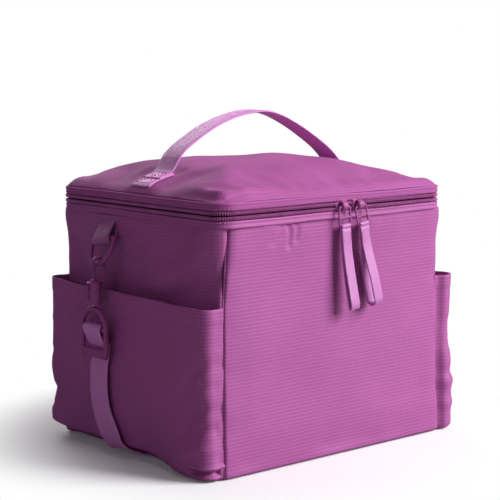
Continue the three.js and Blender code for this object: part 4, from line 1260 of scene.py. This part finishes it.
def add_clip():
    ring_low = leaned(sloped((0, 0, -RING_HALF - RING_SIDE)), RING_BAR)[0]
    x, z, radius = ring_low[0], ring_low[2] - 0.2, 5.8
    flat = np.vstack([
        columns(x - radius, (161.7, 162.6, 163.5)), arc(x, z, radius, pi, 0, 17),
        columns(x + radius, (160, 156, 152.5)), (x + radius - 0.8, 149.6), (x + radius - 3.0, 147.6),
    ])
    grow = np.ones(len(flat))
    grow[0] = 0.8
    hook = swept(columns(flat[:, 0], CLIP_Y, flat[:, 1]), oval(4.8, 2.3, 14, 3.2), (0, 1, 0), scale=grow)
    collar = clip_post((148.6, 150.2, 151.4, 152.0), oval(6.6, 5.4, 20, 2.4), (1.2, 1.1, 0.95, 0.7))
    both_ends("hook_body", [hook, barrel(), collar], PLASTIC, "hook", "painted_zinc", "hook")
    pin = clip_post((140.6, 141.4, 150, 160.3, 160.9, 161.1), oval(3.0, 3.0, 16), (0.8, 1, 1, 1, 0.85, 0.6))
    reach = np.linspace(0.6, 7.4, 18)
    ridges = 1 + 0.05 * np.sin(reach * 5.2)
    ridges[-2:] = 0.86, 0.6
    knob = swept(columns(CLIP_X - reach, CLIP_Y, 144.7), oval(2.6, 4.2, 16, 3.4), (0, 1, 0), scale=ridges)
    both_ends("bolt_body", [pin, knob], PLASTIC, "bolt", "painted_zinc", "hook_bolt")
    turns, low, high = 3, 135.1, 139.1
    angle = np.linspace(0, turns * TAU, turns * 24 + 1)
    height = np.linspace(low, high, len(angle))
    coil = columns(CLIP_X + 1.5 * np.cos(angle), CLIP_Y + 1.5 * np.sin(angle), height)
    coil = swept(coil, oval(0.5, 0.5, 8), (0, 0, 1))
    for piece in both_ends("spring_coil", [coil], STEEL, "hook", "steel", "bolt_spring"):
        word = piece.name.split("_")[0]
        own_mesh(piece)
        slots = frame["nodes"][f"{word}_swivel_pin"].data.materials
        slots.clear()
        slots.append(STEEL)


def add_buckle(half=17.0, corner=3):
    low, side = BUCKLE_LOW + 2.0, half - corner
    upright = np.linspace(BUCKLE_HIGH - 21, low + 4, 10)
    ring = np.vstack([
        arc(0, BUCKLE_HIGH - 19, half, 0, pi, 29), columns(-half, upright),
        arc(-side, low + corner, corner, pi, 3 * pi / 2, 5), columns(np.linspace(2 - side, side - 2, 8), low),
        arc(side, low + corner, corner, -pi / 2, 0, 5), columns(half, upright[::-1]),
    ])
    path = columns(CLIP_X, CLIP_Y + ring[:, 0], ring[:, 1])
    parts = [swept(path, oval(4.4, 4.0, 14, 2.6), (1, 0, 0), True)]
    for height, tall, thick in ((BUCKLE_BAR, 4.2, 3.6), (BUCKLE_LOW + 4.2, 8.4, 4.2)):
        bar = columns(CLIP_X, CLIP_Y + np.linspace(-half, half, 12), height)
        parts.append(swept(bar, oval(thick, tall, 18, 3.4), (1, 0, 0)))
    both_ends("buckle_frame", parts, PLASTIC, "clip", "moulded_plastic", "buckle")


def add_strap():
    path = fold_line((4.6, -15.8), 3.4, 0.9) + (CLIP_X, CLIP_Y, BUCKLE_BAR)
    both_ends("strap_turn", [swept(path, web_section(1.7), (0, 1, 0))], WEB, "clip", "webbing", "strap_fold")
    knots = [
        (0.4, CLIP_Y, STRAP_TOP), (0, 30.6, 87), (-0.8, 32, 76), (-1.2, 32.4, 64), (-1.6, 31.6, 52),
        (-2, 28.4, 40), (-2.4, 22.8, 29), (-2.4, 15, 19.5), (-1, 8.6, 12.4), (2.4, 5, 8.4),
        (8, 2.4, 5.6), (18, -1.4, 2.4),
    ]
    drop = swept(smooth_path(np.array(knots) + (STRAP_X, 0, 0), 7), web_section(1.6), (0, 1, 0))
    for piece in both_ends("strap_webbing", [drop], WEB, None, "webbing", "strap_drop"):
        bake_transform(piece)
    low = 0.9
    half_run = [(STRAP_X + 16, -0.8, 2.6), (-118, -8.0, 1.0), (-104, -15, low), (-88, RUN_Y, low)]
    middle_run = [(x, RUN_Y, low) for x in (-40, 0, 40)]
    far_run = [(-x, y, z) for x, y, z in reversed(half_run)]
    knots = half_run + middle_run + far_run
    part = swept(smooth_path(knots, 6), web_section(1.3), (0, 1, 0))
    stands_for(merged("strap_under_base", [part], WEB, "bag"), "webbing", "strap_base_run")


for wall_side in ("front", "back", "left", "right"):
    add_wall(wall_side, front_relief if wall_side == "front" else side_relief)
add_corner_seams()
add_zip_band()
add_zip()
add_hinge()
lid_cloth = add_lid()
add_handle()
add_pocket(-1)
add_pocket(1)
add_base()
add_padding()
add_lid_pad(lid_cloth)
add_liner()
add_lid_lining()
for pull_side, nose_side, loop_opening, loop_lean in (("left", -1, 1.6, 5.0), ("right", 1, 8.6, 3.0)):
    add_slider(pull_side, nose_side)
    add_tab(pull_side)
    add_pull_loop(pull_side, loop_opening, loop_lean)
add_ring_tab()
add_d_ring()
add_clip()
add_buckle()
add_strap()


# ---- floor, light and camera ----

def add_floor():
    """A pale floor that fades to white, and looks darker to the light it bounces than to the camera."""
    look = Look("studio_floor", Roughness=0.9)
    rays = look.node("LightPath").outputs["Is Camera Ray"]
    place = look.space_place()
    seen = look.mixed(look.noise(place, 0.004), (0.86, 0.86, 0.87, 1), (0.9, 0.9, 0.9, 1))
    look.use(look.mixed(rays, (0.36, 0.34, 0.37, 1), seen))
    glow = look.node("Emission", Strength=look.times(rays, 0.03))
    total = look.node("AddShader", i0=look.shader.outputs[0], i1=glow.outputs[0])
    away = look.node("VectorMath", {"operation": "LENGTH"}, i0=place).outputs["Value"]
    fade = look.node("MapRange", {"interpolation_type": "SMOOTHSTEP"}, i0=away, i1=165.0, i2=290.0).outputs[0]
    white = look.node("Emission", Strength=1.0)
    edge = look.node("MixShader", i0=look.times(fade, rays), i1=total.outputs[0], i2=white.outputs[0])
    look.tree.links.new(edge.outputs[0], look.tree.nodes["Material Output"].inputs["Surface"])
    half, z = 6.0, -0.0004
    mesh = bpy.data.meshes.new("floor")
    square = [(-half, -half, z), (half, -half, z), (half, half, z), (-half, half, z)]
    mesh.from_pydata(square, [], [(0, 1, 2, 3)])
    mesh.materials.append(look.material)
    floor = bpy.data.objects.new("floor", mesh)
    bpy.context.scene.collection.objects.link(floor)


def add_world():
    """White to the camera, and faint as a light."""
    world = bpy.data.worlds.new("studio")
    bpy.context.scene.world = world
    world.use_nodes = True
    nodes, links = world.node_tree.nodes, world.node_tree.links
    nodes["Background"].inputs[0].default_value = (1, 1, 1, 1)
    mix = nodes.new("ShaderNodeMix")
    mix.inputs[2].default_value, mix.inputs[3].default_value = 0.08, 1.0
    links.new(nodes.new("ShaderNodeLightPath").outputs["Is Camera Ray"], mix.inputs[0])
    links.new(mix.outputs[0], nodes["Background"].inputs[1])


def add_light(name, place, target, size, power, colour=(1, 1, 1)):
    data = bpy.data.lights.new(name, "AREA")
    data.shape = "RECTANGLE"
    data.size, data.size_y = size
    data.energy = power
    data.color = colour
    lamp = bpy.data.objects.new(name, data)
    lamp.location = place
    lamp.rotation_euler = (Vector(target) - Vector(place)).to_track_quat("-Z", "Y").to_euler()
    bpy.context.scene.collection.objects.link(lamp)


def add_camera():
    azimuth, elevation, distance = radians(-41.09), radians(7.46), 1.380
    target = Vector((-0.0025, 0, 0.1669))
    back = Vector((sin(azimuth) * cos(elevation), -cos(azimuth) * cos(elevation), sin(elevation)))
    data = bpy.data.cameras.new("camera")
    data.lens, data.sensor_width = 110, 36
    camera = bpy.data.objects.new("camera", data)
    camera.location = target + back * distance
    camera.rotation_euler = (-back).to_track_quat("-Z", "Y").to_euler()
    bpy.context.scene.collection.objects.link(camera)
    bpy.context.scene.camera = camera


add_floor()
add_world()
add_light("key", (1.5, -1.9, 1.5), (0, 0, 0.12), (1.5, 1.5), 128)
add_light("top", (0.1, 0.2, 2.0), (0, 0, 0.2), (1.6, 1.6), 5)
add_light("left_fill", (-2.2, -0.6, 0.9), (0, 0, 0.15), (1.4, 1.4), 5.0, (0.9, 0.66, 1.0))
add_light("back_fill", (0.7, 2.4, 1.5), (0, 0, 0.2), (1.6, 1.2), 26)
add_camera()
bpy.context.scene.view_settings.view_transform = "Standard"
